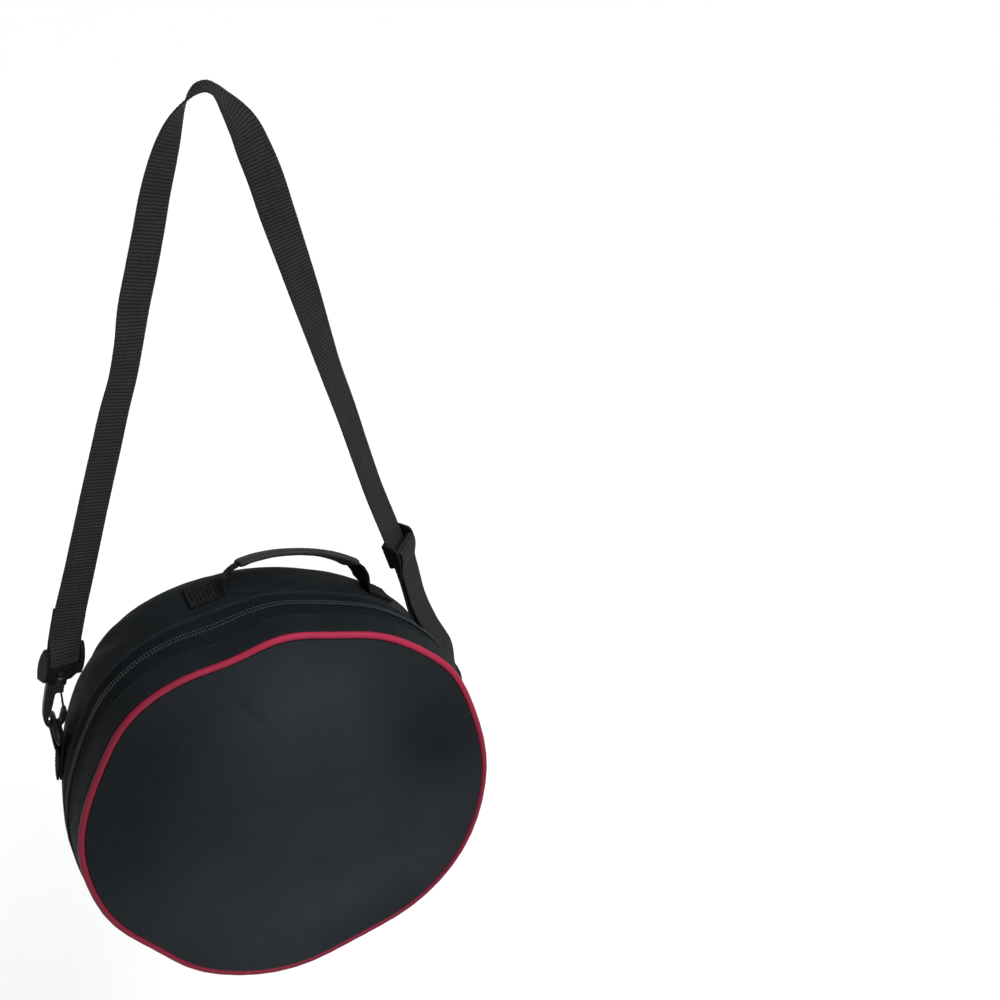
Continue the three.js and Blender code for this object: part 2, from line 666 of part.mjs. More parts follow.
place('d_ring_left', ringBody(), PLASTIC, new THREE.Matrix4().multiplyMatrices(bagFrame, leftEnd.ring));
place('d_ring_right', ringBody(), PLASTIC, new THREE.Matrix4().multiplyMatrices(bagFrame, rightEnd.ring));

// Swivel hook: thick bow with a thin spring gate, a neck, and a headed post that turns in the base

function hookBody() {
  const bowOutside = new THREE.SplineCurve([
    [-8.4, 27.5], [-8.6, 23], [-8.6, 16], [-8.4, 9], [-7.6, 2.6], [-6.1, -1.6], [-3.6, -4.8], [-0.6, -5.9],
    [2.6, -5.6], [6.2, -3.2], [8.3, 1.6], [8.7, 6.4], [8, 9.3], [6.6, 10], [5.3, 8.6], [4.7, 6],
  ].map(([x, y]) => new THREE.Vector2(x, y)));
  const bowInside = spread(0, -180, 9).map((turn) => [
    BOW_MIDDLE[0] + BOW_RADIUS * Math.cos(rad(turn)),
    BOW_MIDDLE[1] + BOW_RADIUS * Math.sin(rad(turn)),
  ]);
  const outline = [
    [3.2, 24.4], [3.2, HOOK_SHOULDER], [-7.6, HOOK_SHOULDER],
    ...bowOutside.getPoints(16).map((p) => [p.x, p.y]),
    ...bowInside,
    [-3.4, 4.2], [-2.7, 7.5], [-2.3, 12], [-2, 17], [-1.7, 22.2], [-1, 23.4], [1.7, 23.4],
  ];
  const gate = [[0.8, 26.5], [3.2, 26.5], [3, 24], [6.3, 11.6], [5.9, 10.6], [4.9, 10.6], [1.9, 23]];
  const post = rod(POST_RADIUS, HOOK_SHOULDER - 3, BAR_REACH - 9.6, 12);
  const head = rod(HEAD_RADIUS, BAR_REACH - 10.7, BAR_REACH - 8.4, 12);
  const solid = solidOf(plate(outline.reverse(), HOOK_THICK, 1.1))
    .add(solidOf(plate(gate.reverse(), 3, 0.3)))
    .add(solidOf(post))
    .add(solidOf(head));
  return geometryOf(solid);
}

// Base of the hook: two ears with the strap's bar between them, and below it the bore of the swivel
function hookBaseBody() {
  const earHalf = [[1.4, 12.4], [3.8, 7], [5.2, 0.5], [5.2, -6.5], [3.8, -12.4]];
  const ear = [...earHalf, ...earHalf.map(([x, y]) => [-x, y]).reverse()];
  const earAt = STRAP_WIDTH / 2 + 0.8 + EAR_WIDTH / 2;
  const cheeks = [[-earAt, -4.9], [-earAt, -11.4], [-8.5, -15.6], [8.5, -15.6], [earAt, -11.4], [earAt, -4.9]];
  const bar = rod(BAR_RADIUS, -earAt, earAt, 12).rotateZ(Math.PI / 2);
  const collar = rod(COLLAR_RADIUS, -18, -12, 12);
  const bore = rod(BORE_RADIUS, -20, -9, 12);
  const headRoom = new THREE.BoxGeometry(11.2, 4.8, 2 * COLLAR_RADIUS + 2).translate(0, -8.8, 0);
  let solid = solidOf(plate(cheeks, BASE_THICK, 0))
    .add(solidOf(bar))
    .add(solidOf(collar))
    .subtract(solidOf(bore))
    .subtract(solidOf(headRoom));
  for (const side of [-1, 1]) {
    const turnedEar = plate(ear, EAR_WIDTH, 0.5).rotateY(Math.PI / 2).translate(side * earAt, 0, 0);
    solid = solid.add(solidOf(turnedEar));
  }
  return geometryOf(solid);
}

function turned(across, degrees) {
  return across.clone().multiplyScalar(Math.cos(rad(degrees))).addScaledVector(BACK, Math.sin(rad(degrees)));
}

function baseFrame(end, barAlong) {
  const matrix = new THREE.Matrix4().makeBasis(barAlong, end.hookUp, barAlong.clone().cross(end.hookUp));
  return matrix.setPosition(end.bar);
}

place('hook_left', hookBody(), PLASTIC, new THREE.Matrix4().multiplyMatrices(bagFrame, leftEnd.hook));
place('hook_right', hookBody(), PLASTIC, new THREE.Matrix4().multiplyMatrices(bagFrame, rightEnd.hook));
place('hook_base_left', hookBaseBody(), PLASTIC,
  new THREE.Matrix4().multiplyMatrices(bagFrame, baseFrame(leftEnd, turned(leftEnd.across, LEFT_TURN))));
place('hook_base_right', hookBaseBody(), PLASTIC,
  new THREE.Matrix4().multiplyMatrices(bagFrame, baseFrame(rightEnd, turned(rightEnd.across, RIGHT_TURN))));

// Shoulder strap: folded and sewn at the left hook, doubled back through the adjuster on the right

function strapStation(at, along, turn) {
  const inside = new THREE.Vector3(along.z, 0, -along.x);
  const wide = inside.multiplyScalar(Math.cos(rad(turn))).addScaledVector(BACK, Math.sin(rad(turn)));
  return { at, wide };
}

const leftBar = leftEnd.bar.clone().applyMatrix4(bagFrame);
const rightBar = rightEnd.bar.clone().applyMatrix4(bagFrame);
const runPoints = STRAP_RUN.map(({ x, z }) => new THREE.Vector3(x, 0, z));
const runCurve = new THREE.CatmullRomCurve3(runPoints, false, 'centripetal');

function freeRun() {
  const count = STRAP_RUN.length - 1;
  return spread(0, 1, 2 * count + 1).map((t) => {
    const k = Math.min(count - 1, Math.floor(t * count));
    const turn = mix(STRAP_RUN[k].turn, STRAP_RUN[k + 1].turn, smooth(t * count - k));
    return strapStation(runCurve.getPoint(t), runCurve.getTangent(t), turn);
  });
}

// Sewn end: from the tip of the fold down behind the bar, round it and up the front
function leftFold() {
  const top = new THREE.Vector3(STRAP_RUN[0].x, 0, STRAP_RUN[0].z);
  const up = top.clone().sub(leftBar);
  const length = up.length();
  up.normalize();
  const strapWide = turned(new THREE.Vector3(up.z, 0, -up.x), STRAP_RUN[0].turn);
  const barWide = turned(leftEnd.across.clone().transformDirection(bagFrame), LEFT_TURN);
  const behind = up.clone().cross(strapWide).normalize();
  const close = STRAP_THICK + GAP;
  const flat = [
    { a: FOLD_LENGTH, n: close }, { a: FOLD_LENGTH * 0.7, n: close }, { a: 17, n: close },
    { a: 11, n: mix(close, BAR_LOOP, 0.35) }, { a: 5, n: mix(close, BAR_LOOP, 0.9) },
    ...spread(0, 180, 9).map((turn) => ({
      a: -BAR_LOOP * Math.sin(rad(turn)),
      n: BAR_LOOP * Math.cos(rad(turn)),
    })),
    { a: 5, n: -BAR_LOOP * 0.88 }, { a: 11, n: -BAR_LOOP * 0.4 }, { a: 17, n: 0 },
    { a: length * 0.55, n: 0 }, { a: length * 0.8, n: 0 },
  ];
  return flat.map(({ a, n }) => ({
    at: leftBar.clone().addScaledVector(up, a).addScaledVector(behind, n),
    wide: barWide.clone().lerp(strapWide, smooth((a - 5) / 14)).normalize(),
  }));
}

// Doubled end: down the inner side, round the bar of the right hook, up the outer side to the adjuster
const adjusterAt = new THREE.Vector3(ADJUSTER.x, 0, ADJUSTER.z);
const doubledRun = rightBar.clone().sub(adjusterAt);
const doubledLength = doubledRun.length();
const doubledDown = doubledRun.clone().normalize();

const rightBarWide = turned(rightEnd.across, RIGHT_TURN).transformDirection(bagFrame);

// Place a down from the adjuster and n away from the bag
function doubledStation(a, n) {
  const { wide } = strapStation(adjusterAt, doubledDown, ADJUSTER.turn);
  wide.lerp(rightBarWide, smooth((a - 24) / (doubledLength - 36))).normalize();
  const normal = doubledDown.clone().cross(wide).normalize();
  return { at: adjusterAt.clone().addScaledVector(doubledDown, a).addScaledVector(normal, n), wide };
}

function innerLayer(a) {
  return -BAR_LOOP * smooth((a - 20) / (doubledLength - 40)) - INNER_SAG * hump(a - 58, 24);
}

function outerLayer(a) {
  const close = innerLayer(a) + 2 * (STRAP_THICK + GAP);
  const loose = BAR_LOOP + OUTER_BOW * hump(a - doubledLength * 0.74, 20);
  const low = mix(close, loose, smooth((a - 34) / (doubledLength * 0.5)));
  return mix(ADJUSTER_BAR_N + SLIDER_LOOP, low, smooth(a / 22));
}

function rightDouble() {
  const tail = (a) => outerLayer(a) - STRAP_THICK - GAP;
  const flat = [
    ...spread(-16, doubledLength - 6, 12).map((a) => ({ a, n: innerLayer(a) })),
    ...spread(-90, 90, 9).map((turn) => ({
      a: doubledLength + BAR_LOOP * Math.cos(rad(turn)),
      n: BAR_LOOP * Math.sin(rad(turn)),
    })),
    ...spread(doubledLength - 7, 6, 13).map((a) => ({ a, n: outerLayer(a) })),
    ...spread(90, 270, 9).map((turn) => ({
      a: SLIDER_LOOP * Math.cos(rad(turn)),
      n: ADJUSTER_BAR_N + SLIDER_LOOP * Math.sin(rad(turn)),
    })),
    ...[4, 8, 12, 17, 24].map((a) => ({
      a,
      n: mix(ADJUSTER_BAR_N - SLIDER_LOOP, tail(a), smooth(a / 13)),
    })),
  ];
  return flat.map(({ a, n }) => doubledStation(a, n));
}

const strapLine = [...leftFold(), ...freeRun(), ...rightDouble()];
place('strap', ribbonBody(strapLine, STRAP_WIDTH, STRAP_THICK), WEBBING);

// Strap adjuster: middle bar inside the sewn loop, two outer bars across the other face of the strap

function adjusterBody() {
  const low = -STRAP_THICK / 2 - GAP;
  const top = ADJUSTER_BAR_N + SLIDER_BAR;
  const railHalf = [[10, low - 1.8], [11, low - 0.9], [10.8, low + 1.2], [7.4, top - 1.6], [4.2, top]];
  const rail = [...railHalf, ...railHalf.map(([x, y]) => [-x, y]).reverse()];
  const railAt = STRAP_WIDTH / 2 + 0.6 + RAIL_THICK / 2;
  const barHalf = STRAP_WIDTH / 2 + 1.6;
  let solid = solidOf(rod(SLIDER_BAR, -barHalf, barHalf, 12).rotateX(Math.PI / 2)
    .translate(0, ADJUSTER_BAR_N, 0));
  for (const side of [-1, 1]) {
    solid = solid.add(solidOf(plate(rail, RAIL_THICK, 0.4).translate(0, 0, side * railAt)));
    const bar = new THREE.BoxGeometry(3.2, 1.8, 2 * barHalf).translate(side * 9, low - 0.9, 0);
    solid = solid.add(solidOf(bar));
  }
  return geometryOf(solid);
}

const adjusterStation = doubledStation(0, 0);
const adjusterNormal = doubledDown.clone().cross(adjusterStation.wide).normalize();
const adjusterSide = adjusterStation.wide.negate();
const adjusterFrame = new THREE.Matrix4().makeBasis(doubledDown, adjusterNormal, adjusterSide);
place('strap_adjuster', adjusterBody(), PLASTIC, adjusterFrame.setPosition(adjusterAt));

export default row;
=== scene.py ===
# %% [markdown]
# # A regulator bag that hangs by its shoulder strap
#
# The bag is soft: two padded round panels, a gusset band between them, a zip, and webbing. The solid
# model gives each piece its place. Here every soft solid is replaced by a finer cloth piece of the same
# form, and every moulded fitting by a rounded one. So the model keeps its size and gains its looks.

# %% Load the solid model as a fixed frame
import math
from collections import namedtuple

import bpy
import numpy as np
from mathutils import Matrix, Vector


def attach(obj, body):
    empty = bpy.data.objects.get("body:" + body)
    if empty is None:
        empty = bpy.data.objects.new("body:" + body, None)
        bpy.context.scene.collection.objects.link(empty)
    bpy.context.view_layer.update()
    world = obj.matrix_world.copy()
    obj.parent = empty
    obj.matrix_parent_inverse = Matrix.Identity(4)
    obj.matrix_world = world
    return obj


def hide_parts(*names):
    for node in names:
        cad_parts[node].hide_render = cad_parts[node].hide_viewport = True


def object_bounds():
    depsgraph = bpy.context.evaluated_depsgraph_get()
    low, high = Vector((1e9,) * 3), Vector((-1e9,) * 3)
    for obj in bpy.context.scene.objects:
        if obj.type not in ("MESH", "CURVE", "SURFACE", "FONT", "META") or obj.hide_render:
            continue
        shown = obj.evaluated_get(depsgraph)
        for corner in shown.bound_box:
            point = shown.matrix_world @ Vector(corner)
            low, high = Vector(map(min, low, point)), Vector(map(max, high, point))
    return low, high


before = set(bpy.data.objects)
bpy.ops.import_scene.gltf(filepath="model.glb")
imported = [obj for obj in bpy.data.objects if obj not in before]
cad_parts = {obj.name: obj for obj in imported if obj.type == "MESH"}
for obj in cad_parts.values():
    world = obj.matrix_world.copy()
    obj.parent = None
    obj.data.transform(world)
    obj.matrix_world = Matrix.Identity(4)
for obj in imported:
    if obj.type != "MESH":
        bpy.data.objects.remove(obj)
cad_low, cad_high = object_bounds()
print("solid model box", [round(v, 4) for v in (*cad_low, *cad_high)])

# %% [markdown]
# The camera comes first. A normal lens on a square frame looks down on the bag from its front left. A
# constraint could aim it, but here two vectors say which way the picture's right and up point, and the
# third follows from them. So a slight roll is kept, and nothing has to be aimed.

# %% Camera
CAMERA_AT = Vector((-0.1901, -0.9000, 0.1471))
CAMERA_RIGHT = Vector((0.9166, -0.3996, -0.0072)).normalized()
CAMERA_UP = Vector((0.181, 0.399, 0.8989)).normalized()
CAMERA_LENS = 50.4
CAMERA_SENSOR = 36.0

scene = bpy.context.scene
camera_data = bpy.data.cameras.new("camera")
camera_data.sensor_width = CAMERA_SENSOR
camera_data.lens = CAMERA_LENS
camera = bpy.data.objects.new("camera", camera_data)
scene.collection.objects.link(camera)
camera_back = CAMERA_RIGHT.cross(CAMERA_UP).normalized()
camera_axes = Matrix((CAMERA_RIGHT, camera_back.cross(CAMERA_RIGHT), camera_back)).transposed()
camera.matrix_world = Matrix.Translation(CAMERA_AT) @ camera_axes.to_4x4()
scene.camera = camera
print("camera looks along", [round(v, 3) for v in -camera_back])

# %% [markdown]
# Black cloth shows its form only by soft gradients. A wide sun, as soft as a large window, lights bag
# and floor from above right. Lamps near the bag could do the same, but they would leave bright spots on
# the floor, and a sun keeps it even. Two weak soft boxes give the plastic something to mirror.

# %% Lights
SUN_FROM = (0.30, -0.70, 0.62)
SUN_STRENGTH = 4.12
SUN_SOFTNESS = 38
BAG_MIDDLE = (0.0, -0.013, -0.514)

scene.view_settings.view_transform = "Standard"


def add_lamp(name, kind, facing):
    holder = bpy.data.objects.new(name, bpy.data.lights.new(name, kind))
    scene.collection.objects.link(holder)
    holder.rotation_euler = facing.to_track_quat("-Z", "Y").to_euler()
    return holder


def soft_box(name, at, aim, size, watts, tint):
    box = add_lamp(name, "AREA", Vector(aim) - Vector(at))
    box.location = at
    box.data.shape = "DISK"
    box.data.size = size
    box.data.energy = watts
    box.data.color = tint


soft_box("top_box", (0.55, -0.25, 0.75), BAG_MIDDLE, 1.0, 5, (1.0, 0.985, 0.97))
soft_box("strap_box", (-0.5, -1.1, 0.5), (0, 0, -0.2), 0.7, 3, (1.0, 1.0, 1.0))
sun = add_lamp("sun", "SUN", -Vector(SUN_FROM))
sun.data.energy = SUN_STRENGTH
sun.data.angle = math.radians(SUN_SOFTNESS)

# %% [markdown]
# The room gives light as well, more on the right than on the left, which keeps one side of the bag dark.
# A photographed room could light it, but a ramp is enough: the way in which a ray leaves has an X part
# from -1 to 1, and a map range turns that into a strength.

# %% Room
ROOM_LEFT = 0.05
ROOM_RIGHT = 0.54

room = bpy.data.worlds.new("room")
room.use_nodes = True
room_nodes = room.node_tree.nodes
room_links = room.node_tree.links
room_way = room_nodes.new("ShaderNodeTexCoord")
room_split = room_nodes.new("ShaderNodeSeparateXYZ")
room_range = room_nodes.new("ShaderNodeMapRange")
for setting, value in (("From Min", -1), ("From Max", 1), ("To Min", ROOM_LEFT), ("To Max", ROOM_RIGHT)):
    room_range.inputs[setting].default_value = value
room_links.new(room_way.outputs["Generated"], room_split.inputs[0])
room_links.new(room_split.outputs["X"], room_range.inputs["Value"])
room_links.new(room_range.outputs["Result"], room_nodes["Background"].inputs["Strength"])
room_nodes["Background"].inputs["Color"].default_value = (1, 1, 1, 1)
scene.world = room
print("room light from", ROOM_LEFT, "on the left to", ROOM_RIGHT, "on the right")

# %% [markdown]
# Finishes are made of nodes. Wiring each one by hand takes many lines, so this small class keeps it
# short: it makes a finish with its plain values set on the shader itself, and adds sums, noises, blends
# and bumps by name. Cloth has to know which way its threads run, so every cloth mesh carries an attribute
# named cloth: metres along the piece, metres across it, and how light a point is painted, from 0 to 1,
# which is painted light and shade.

# %% Helpers for finishes
SHEEN_ROUGHNESS = 0.45


class Finish:
    def __init__(self, name, colour, roughness, specular, sheen=0.0):
        self.material = bpy.data.materials.new(name)
        self.material.use_nodes = True
        self.tree = self.material.node_tree
        self.shader = self.tree.nodes["Principled BSDF"]
        self.set("Base Color", (*colour, 1.0))
        self.set("Roughness", roughness)
        self.set("Specular IOR Level", specular)
        if sheen:
            self.set("Sheen Weight", sheen)
            self.set("Sheen Roughness", SHEEN_ROUGHNESS)

    def node(self, kind):
        return self.tree.nodes.new("ShaderNode" + kind)

    def put(self, value, socket):
        if isinstance(value, bpy.types.NodeSocket):
            self.tree.links.new(value, socket)
        else:
            socket.default_value = value

    def set(self, socket, value):
        self.put(value, self.shader.inputs[socket])

    def math(self, operation, *values):
        node = self.node("Math")
        node.operation = operation
        for value, socket in zip(values, node.inputs):
            self.put(value, socket)
        return node.outputs[0]

    def cloth(self):
        node = self.node("Attribute")
        node.attribute_name = "cloth"
        split = self.node("SeparateXYZ")
        self.put(node.outputs["Vector"], split.inputs[0])
        return split.outputs["X"], split.outputs["Y"], split.outputs["Z"]

    def noise(self, scale, detail):
        node = self.node("TexNoise")
        self.put(self.node("TexCoord").outputs["Object"], node.inputs["Vector"])
        self.put(scale, node.inputs["Scale"])
        self.put(detail, node.inputs["Detail"])
        return node.outputs["Fac"]

    def span(self, value, low, high):
        node = self.node("MapRange")
        for socket, given in (("Value", value), ("To Min", low), ("To Max", high)):
            self.put(given, node.inputs[socket])
        return node.outputs["Result"]

    def blend(self, share, first, second):
        node = self.node("Mix")
        node.data_type = "RGBA"
        self.put(share, node.inputs["Factor"])
        node.inputs["A"].default_value = (*first, 1.0)
        node.inputs["B"].default_value = (*second, 1.0)
        return [s for s in node.outputs if s.type == "RGBA"][0]

    def bump(self, height, depth, strength=1.0):
        node = self.node("Bump")
        for socket, given in (("Strength", strength), ("Distance", depth), ("Height", height)):
            self.put(given, node.inputs[socket])
        self.set("Normal", node.outputs["Normal"])


def weave(finish, pitch):
    # Plain weave: in each square of the net one thread lies on top, and the next square swaps them
    # the third value, light, is the painted light and shade from the cloth attribute
    along, across, light = finish.cloth()
    along = finish.math("DIVIDE", along, pitch)
    across = finish.math("DIVIDE", across, pitch)
    cells = finish.math("ADD", finish.math("FLOOR", along), finish.math("FLOOR", across))
    swap = finish.math("FLOORED_MODULO", cells, 2.0)
    ridges = []
    for way in (along, across):
        half_turn = finish.math("MULTIPLY", finish.math("FRACT", way), math.pi)
        ridges.append(finish.math("SINE", half_turn))
    threads = []
    for rise, length in (ridges, ridges[::-1]):
        bent = finish.math("MULTIPLY_ADD", length, 0.6, 0.4)
        threads.append(finish.math("MULTIPLY", finish.math("SQRT", rise), bent))
    over = finish.math("MULTIPLY", threads[0], swap)
    under = finish.math("MULTIPLY", threads[1], finish.math("SUBTRACT", 1.0, swap))
    return finish.math("ADD", over, under), light


print("a finish can use", [name for name in vars(Finish) if not name.startswith("_")])

# %% [markdown]
# The bag has a fine matt cloth on its panels, a coarser woven nylon on the gusset, red binding on the
# piping, webbing and sewing thread. Black cloth is never one flat colour: the tops of the threads get a
# painted highlight and the gaps a painted shade, noise makes it uneven as dust and handling do, and the
# cloth attribute adds painted light and shade. A picture of cloth would repeat and blur, so the weave is
# worked out from the cloth attribute and broken up by noise.

# %% Cloth finishes
LINT_LEVEL = 0.77
LINT_SHARE = 0.3
GRAIN_SPREAD = 0.08


def cloth_finish(name, dark, light, *, pitch, depth, roughness, specular, mottle,
                 sheen=0.0, lint=0, gaps=0.0):
    # Pitch and depth of the weave are in metres, mottle and lint are noise scales, and gaps is how
    # light the painted shade between its threads stays
    finish = Finish(name, light, roughness, specular, sheen)
    threads, share = weave(finish, pitch)
    # painted highlight on thread tops and painted shade in the gaps, times noise and the attribute's painted
    # light and shade
    uneven = finish.math("MULTIPLY", finish.span(finish.noise(mottle, 4.0), 0.45, 1.0), share)
    pale = finish.math("MULTIPLY", finish.span(threads, gaps, 1.0), uneven)
    if lint:
        specks = finish.math("GREATER_THAN", finish.noise(lint, 1.0), LINT_LEVEL)
        pale = finish.math("MULTIPLY_ADD", specks, LINT_SHARE, pale)
    finish.set("Base Color", finish.blend(pale, dark, light))
    grain = finish.noise(mottle * 3, 2.0)
    finish.set("Roughness", finish.span(grain, roughness - GRAIN_SPREAD, roughness + GRAIN_SPREAD))
    finish.bump(threads, depth)
    return finish.material


panel_cloth = cloth_finish(
    "panel_cloth", (0.0016, 0.0026, 0.0034), (0.0164, 0.0224, 0.0261), pitch=0.0009, depth=0.00006,
    roughness=0.78, specular=0.10, mottle=22, sheen=0.02, lint=330, gaps=0.5)
gusset_cloth = cloth_finish(
    "gusset_cloth", (0.0012, 0.0018, 0.0023), (0.0134, 0.0164, 0.0188), pitch=0.0013, depth=0.00030,
    roughness=0.68, specular=0.06, mottle=30)
tape_cloth = cloth_finish(
    "tape_cloth", (0.0012, 0.0018, 0.0023), (0.0104, 0.0128, 0.0148), pitch=0.0008, depth=0.00015,
    roughness=0.74, specular=0.04, mottle=40)
grip_cloth = cloth_finish(
    "grip_cloth", (0.006, 0.006, 0.005), (0.032, 0.032, 0.029), pitch=0.0009, depth=0.00018,
    roughness=0.75, specular=0.10, mottle=60, sheen=0.02)
webbing_cloth = cloth_finish(
    "webbing_cloth", (0.0008, 0.0009, 0.0011), (0.038, 0.040, 0.042), pitch=0.0006, depth=0.00012,
    roughness=0.72, specular=0.07, mottle=70, sheen=0.01)
belt_cloth = cloth_finish(
    "belt_cloth", (0.0008, 0.0009, 0.0011), (0.020, 0.022, 0.024), pitch=0.0006, depth=0.00012,
    roughness=0.74, specular=0.05, mottle=70)
piping_cloth = cloth_finish(
    "piping_cloth", (0.07, 0.004, 0.012), (0.42, 0.018, 0.062), pitch=0.0007, depth=0.00008,
    roughness=0.50, specular=0.12, mottle=25)
thread_cloth = cloth_finish(
    "thread_cloth", (0.005, 0.006, 0.007), (0.016, 0.018, 0.020), pitch=0.0004, depth=0.00005,
    roughness=0.65, specular=0.12, mottle=90, sheen=0.01)
coil_thread_cloth = cloth_finish(
    "coil_thread_cloth", (0.012, 0.014, 0.016), (0.060, 0.068, 0.076), pitch=0.0004, depth=0.00005,
    roughness=0.65, specular=0.18, mottle=90, sheen=0.02)
print("cloths", [m.name for m in bpy.data.materials if m.name.endswith("cloth")])

# %% [markdown]
# Rings, hooks and the adjuster are black moulded plastic, the zip's coil is nylon, and its slider is
# enamelled. One plain colour would look like a drawing. A mould leaves a faint grain and cloudy patches,
# so three noises vary colour, gloss and height. The floor's paint is made the same way.

# %% Plastic, enamel and paint
GLOSS_SPREAD = 0.10
MOULD_GRAIN = 0.00005


def plastic_finish(name, dark, light, roughness, grain, specular=0.35):
    finish = Finish(name, light, roughness, specular)
    finish.set("Base Color", finish.blend(finish.noise(grain / 12, 3.0), dark, light))
    gloss = finish.noise(grain / 4, 4.0)
    finish.set("Roughness", finish.span(gloss, roughness - GLOSS_SPREAD, roughness + GLOSS_SPREAD))
    finish.bump(finish.noise(grain, 2.0), MOULD_GRAIN, 0.6)
    return finish.material


moulded_plastic = plastic_finish(
    "moulded_plastic", (0.0022, 0.0022, 0.0026), (0.006, 0.006, 0.0065), 0.42, 900, specular=0.11)
coil_plastic = plastic_finish(
    "coil_plastic", (0.003, 0.004, 0.005), (0.009, 0.011, 0.012), 0.50, 1500, specular=0.15)
enamel = plastic_finish("enamel", (0.006, 0.006, 0.007), (0.016, 0.016, 0.017), 0.30, 700)
floor_paint = plastic_finish("floor_paint", (0.91, 0.91, 0.91), (0.94, 0.94, 0.94), 0.80, 40)
print("hard finishes", [m.name for m in (moulded_plastic, coil_plastic, enamel, floor_paint)])

# %% [markdown]
# The bag hangs free, so the floor lies well below it and takes only a faint shade. A curved backdrop
# would do, but a very wide disc fills the picture as well and needs a single face.

# %% Floor
FLOOR_DROP = 0.60
FLOOR_RADIUS = 40
FLOOR_SIDES = 96

floor_z = cad_low.z - FLOOR_DROP
floor_turns = np.linspace(0, 2 * math.pi, FLOOR_SIDES, endpoint=False)
floor_rim = [(FLOOR_RADIUS * math.cos(a), FLOOR_RADIUS * math.sin(a), floor_z) for a in floor_turns]
floor_mesh = bpy.data.meshes.new("floor")
floor_mesh.from_pydata(floor_rim, [], [range(FLOOR_SIDES)])
floor_mesh.materials.append(floor_paint)
floor = bpy.data.objects.new("floor", floor_mesh)
scene.collection.objects.link(floor)
print("floor lies", round(cad_low.z - floor_z, 3), "m below the bag")

# %% [markdown]
# All pieces are drawn in millimetres with numpy, because a soft bag is easiest as formulas over two
# directions. Sculpting could give the same forms, but not twice in the same way. One function turns the
# faces outward, writes the cloth attribute and makes the object, and another gives it its body and hides
# the solid that it stands for.

# %% Helpers for pieces
MM = 0.001
SHARP_EDGE = 50


def make_piece(name, points, faces, cloth, finish):
    points = np.asarray(points, float)
    corners = points[np.array([f[:3] for f in faces])]
    if np.einsum("ij,ij->", corners[:, 0], np.cross(corners[:, 1], corners[:, 2])) < 0:
        faces = [f[::-1] for f in faces]
    mesh = bpy.data.meshes.new(name)
    mesh.from_pydata((points * MM).tolist(), [], faces)
    if cloth is not None:
        flat = np.asarray(cloth, np.float32) * np.array([MM, MM, 1], np.float32)
        mesh.attributes.new("cloth", "FLOAT_VECTOR", "POINT").data.foreach_set("vector", flat.ravel())
    mesh.shade_smooth()
    mesh.set_sharp_from_angle(angle=math.radians(SHARP_EDGE))
    mesh.materials.append(finish)
    piece = bpy.data.objects.new(name, mesh)
    scene.collection.objects.link(piece)
    return piece


def settle_in(piece, slot, *nodes, body="bag"):
    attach(piece, body)
    if nodes:
        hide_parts(*nodes)
    print(piece.name, len(piece.data.polygons), "faces, stands for", list(nodes))
    return piece


def joined(parts):
    points, faces, cloth, start = [], [], [], 0
    for p, f, c in parts:
        points.append(p)
        cloth.append(c)
        faces += [[start + i for i in face] for face in f]
        start += len(p)
    return np.concatenate(points), faces, np.concatenate(cloth)


print("pieces are drawn in units of", MM, "m")

# %% [markdown]
# Most pieces are one of two bodies: a wall between two grids of points, for cloth, or a section swept
# along a line, for cords and webbing. Blender's solidify and curve bevel make such bodies too, but here
# every point's place along and across the cloth is needed for the weave, so the nets are laid one by one.

# %% Helpers for walls and swept sections


def net(rows, columns, start=0, ring_rows=False, ring_columns=False):
    # Squares between neighbours in a grid of points, closed to a ring where asked
    i = np.arange(rows if ring_rows else rows - 1)[:, None]
    j = np.arange(columns if ring_columns else columns - 1)[None, :]
    low, high = i * columns, (i + 1) % rows * columns
    after = (j + 1) % columns
    return (start + np.stack([low + j, high + j, high + after, low + after], -1)).reshape(-1, 4).tolist()


def tube(rows, columns):
    # Rings of points, with a flat cap at each end
    last = (rows - 1) * columns
    caps = [list(range(columns))[::-1], list(range(last, last + columns))]
    return net(rows, columns, ring_columns=True) + caps


def bridge(first, shift, columns):
    # Squares from a ring of points to the same ring in another layer
    after = [(k + 1) % columns for k in range(columns)]
    return [[first + k, shift + first + k, shift + first + n, first + n] for k, n in enumerate(after)]


def wall(outer, inner, cloth):
    # Closed body between two grids of points
    rows, columns = outer.shape[:2]
    count = rows * columns
    faces = net(rows, columns) + [f[::-1] for f in net(rows, columns, count)]
    rim = [(i, 0) for i in range(rows)] + [(rows - 1, j) for j in range(1, columns)]
    rim += [(i, columns - 1) for i in range(rows - 2, -1, -1)] + [(0, j) for j in range(columns - 2, 0, -1)]
    edge = [i * columns + j for i, j in rim]
    faces += [[a, count + a, count + b, b][::-1] for a, b in zip(edge, edge[1:] + edge[:1])]
    points = np.concatenate([outer.reshape(-1, 3), inner.reshape(-1, 3)])
    cloth = np.column_stack([cloth.reshape(-1, 2), np.ones(count)])
    return points, faces, np.concatenate([cloth, cloth])


def unit(vectors):
    return vectors / np.linalg.norm(vectors, axis=-1, keepdims=True)


def circle(sides, radius=1.0):
    turn = np.linspace(0, 2 * math.pi, sides, endpoint=False)
    return radius * np.stack([np.cos(turn), np.sin(turn)], -1)


def run_of(points, power=1):
    # Way covered at each point of a line
    steps = np.linalg.norm(np.diff(points[:, :3], axis=0), axis=1)
    return np.concatenate([[0], np.cumsum(steps**power)])


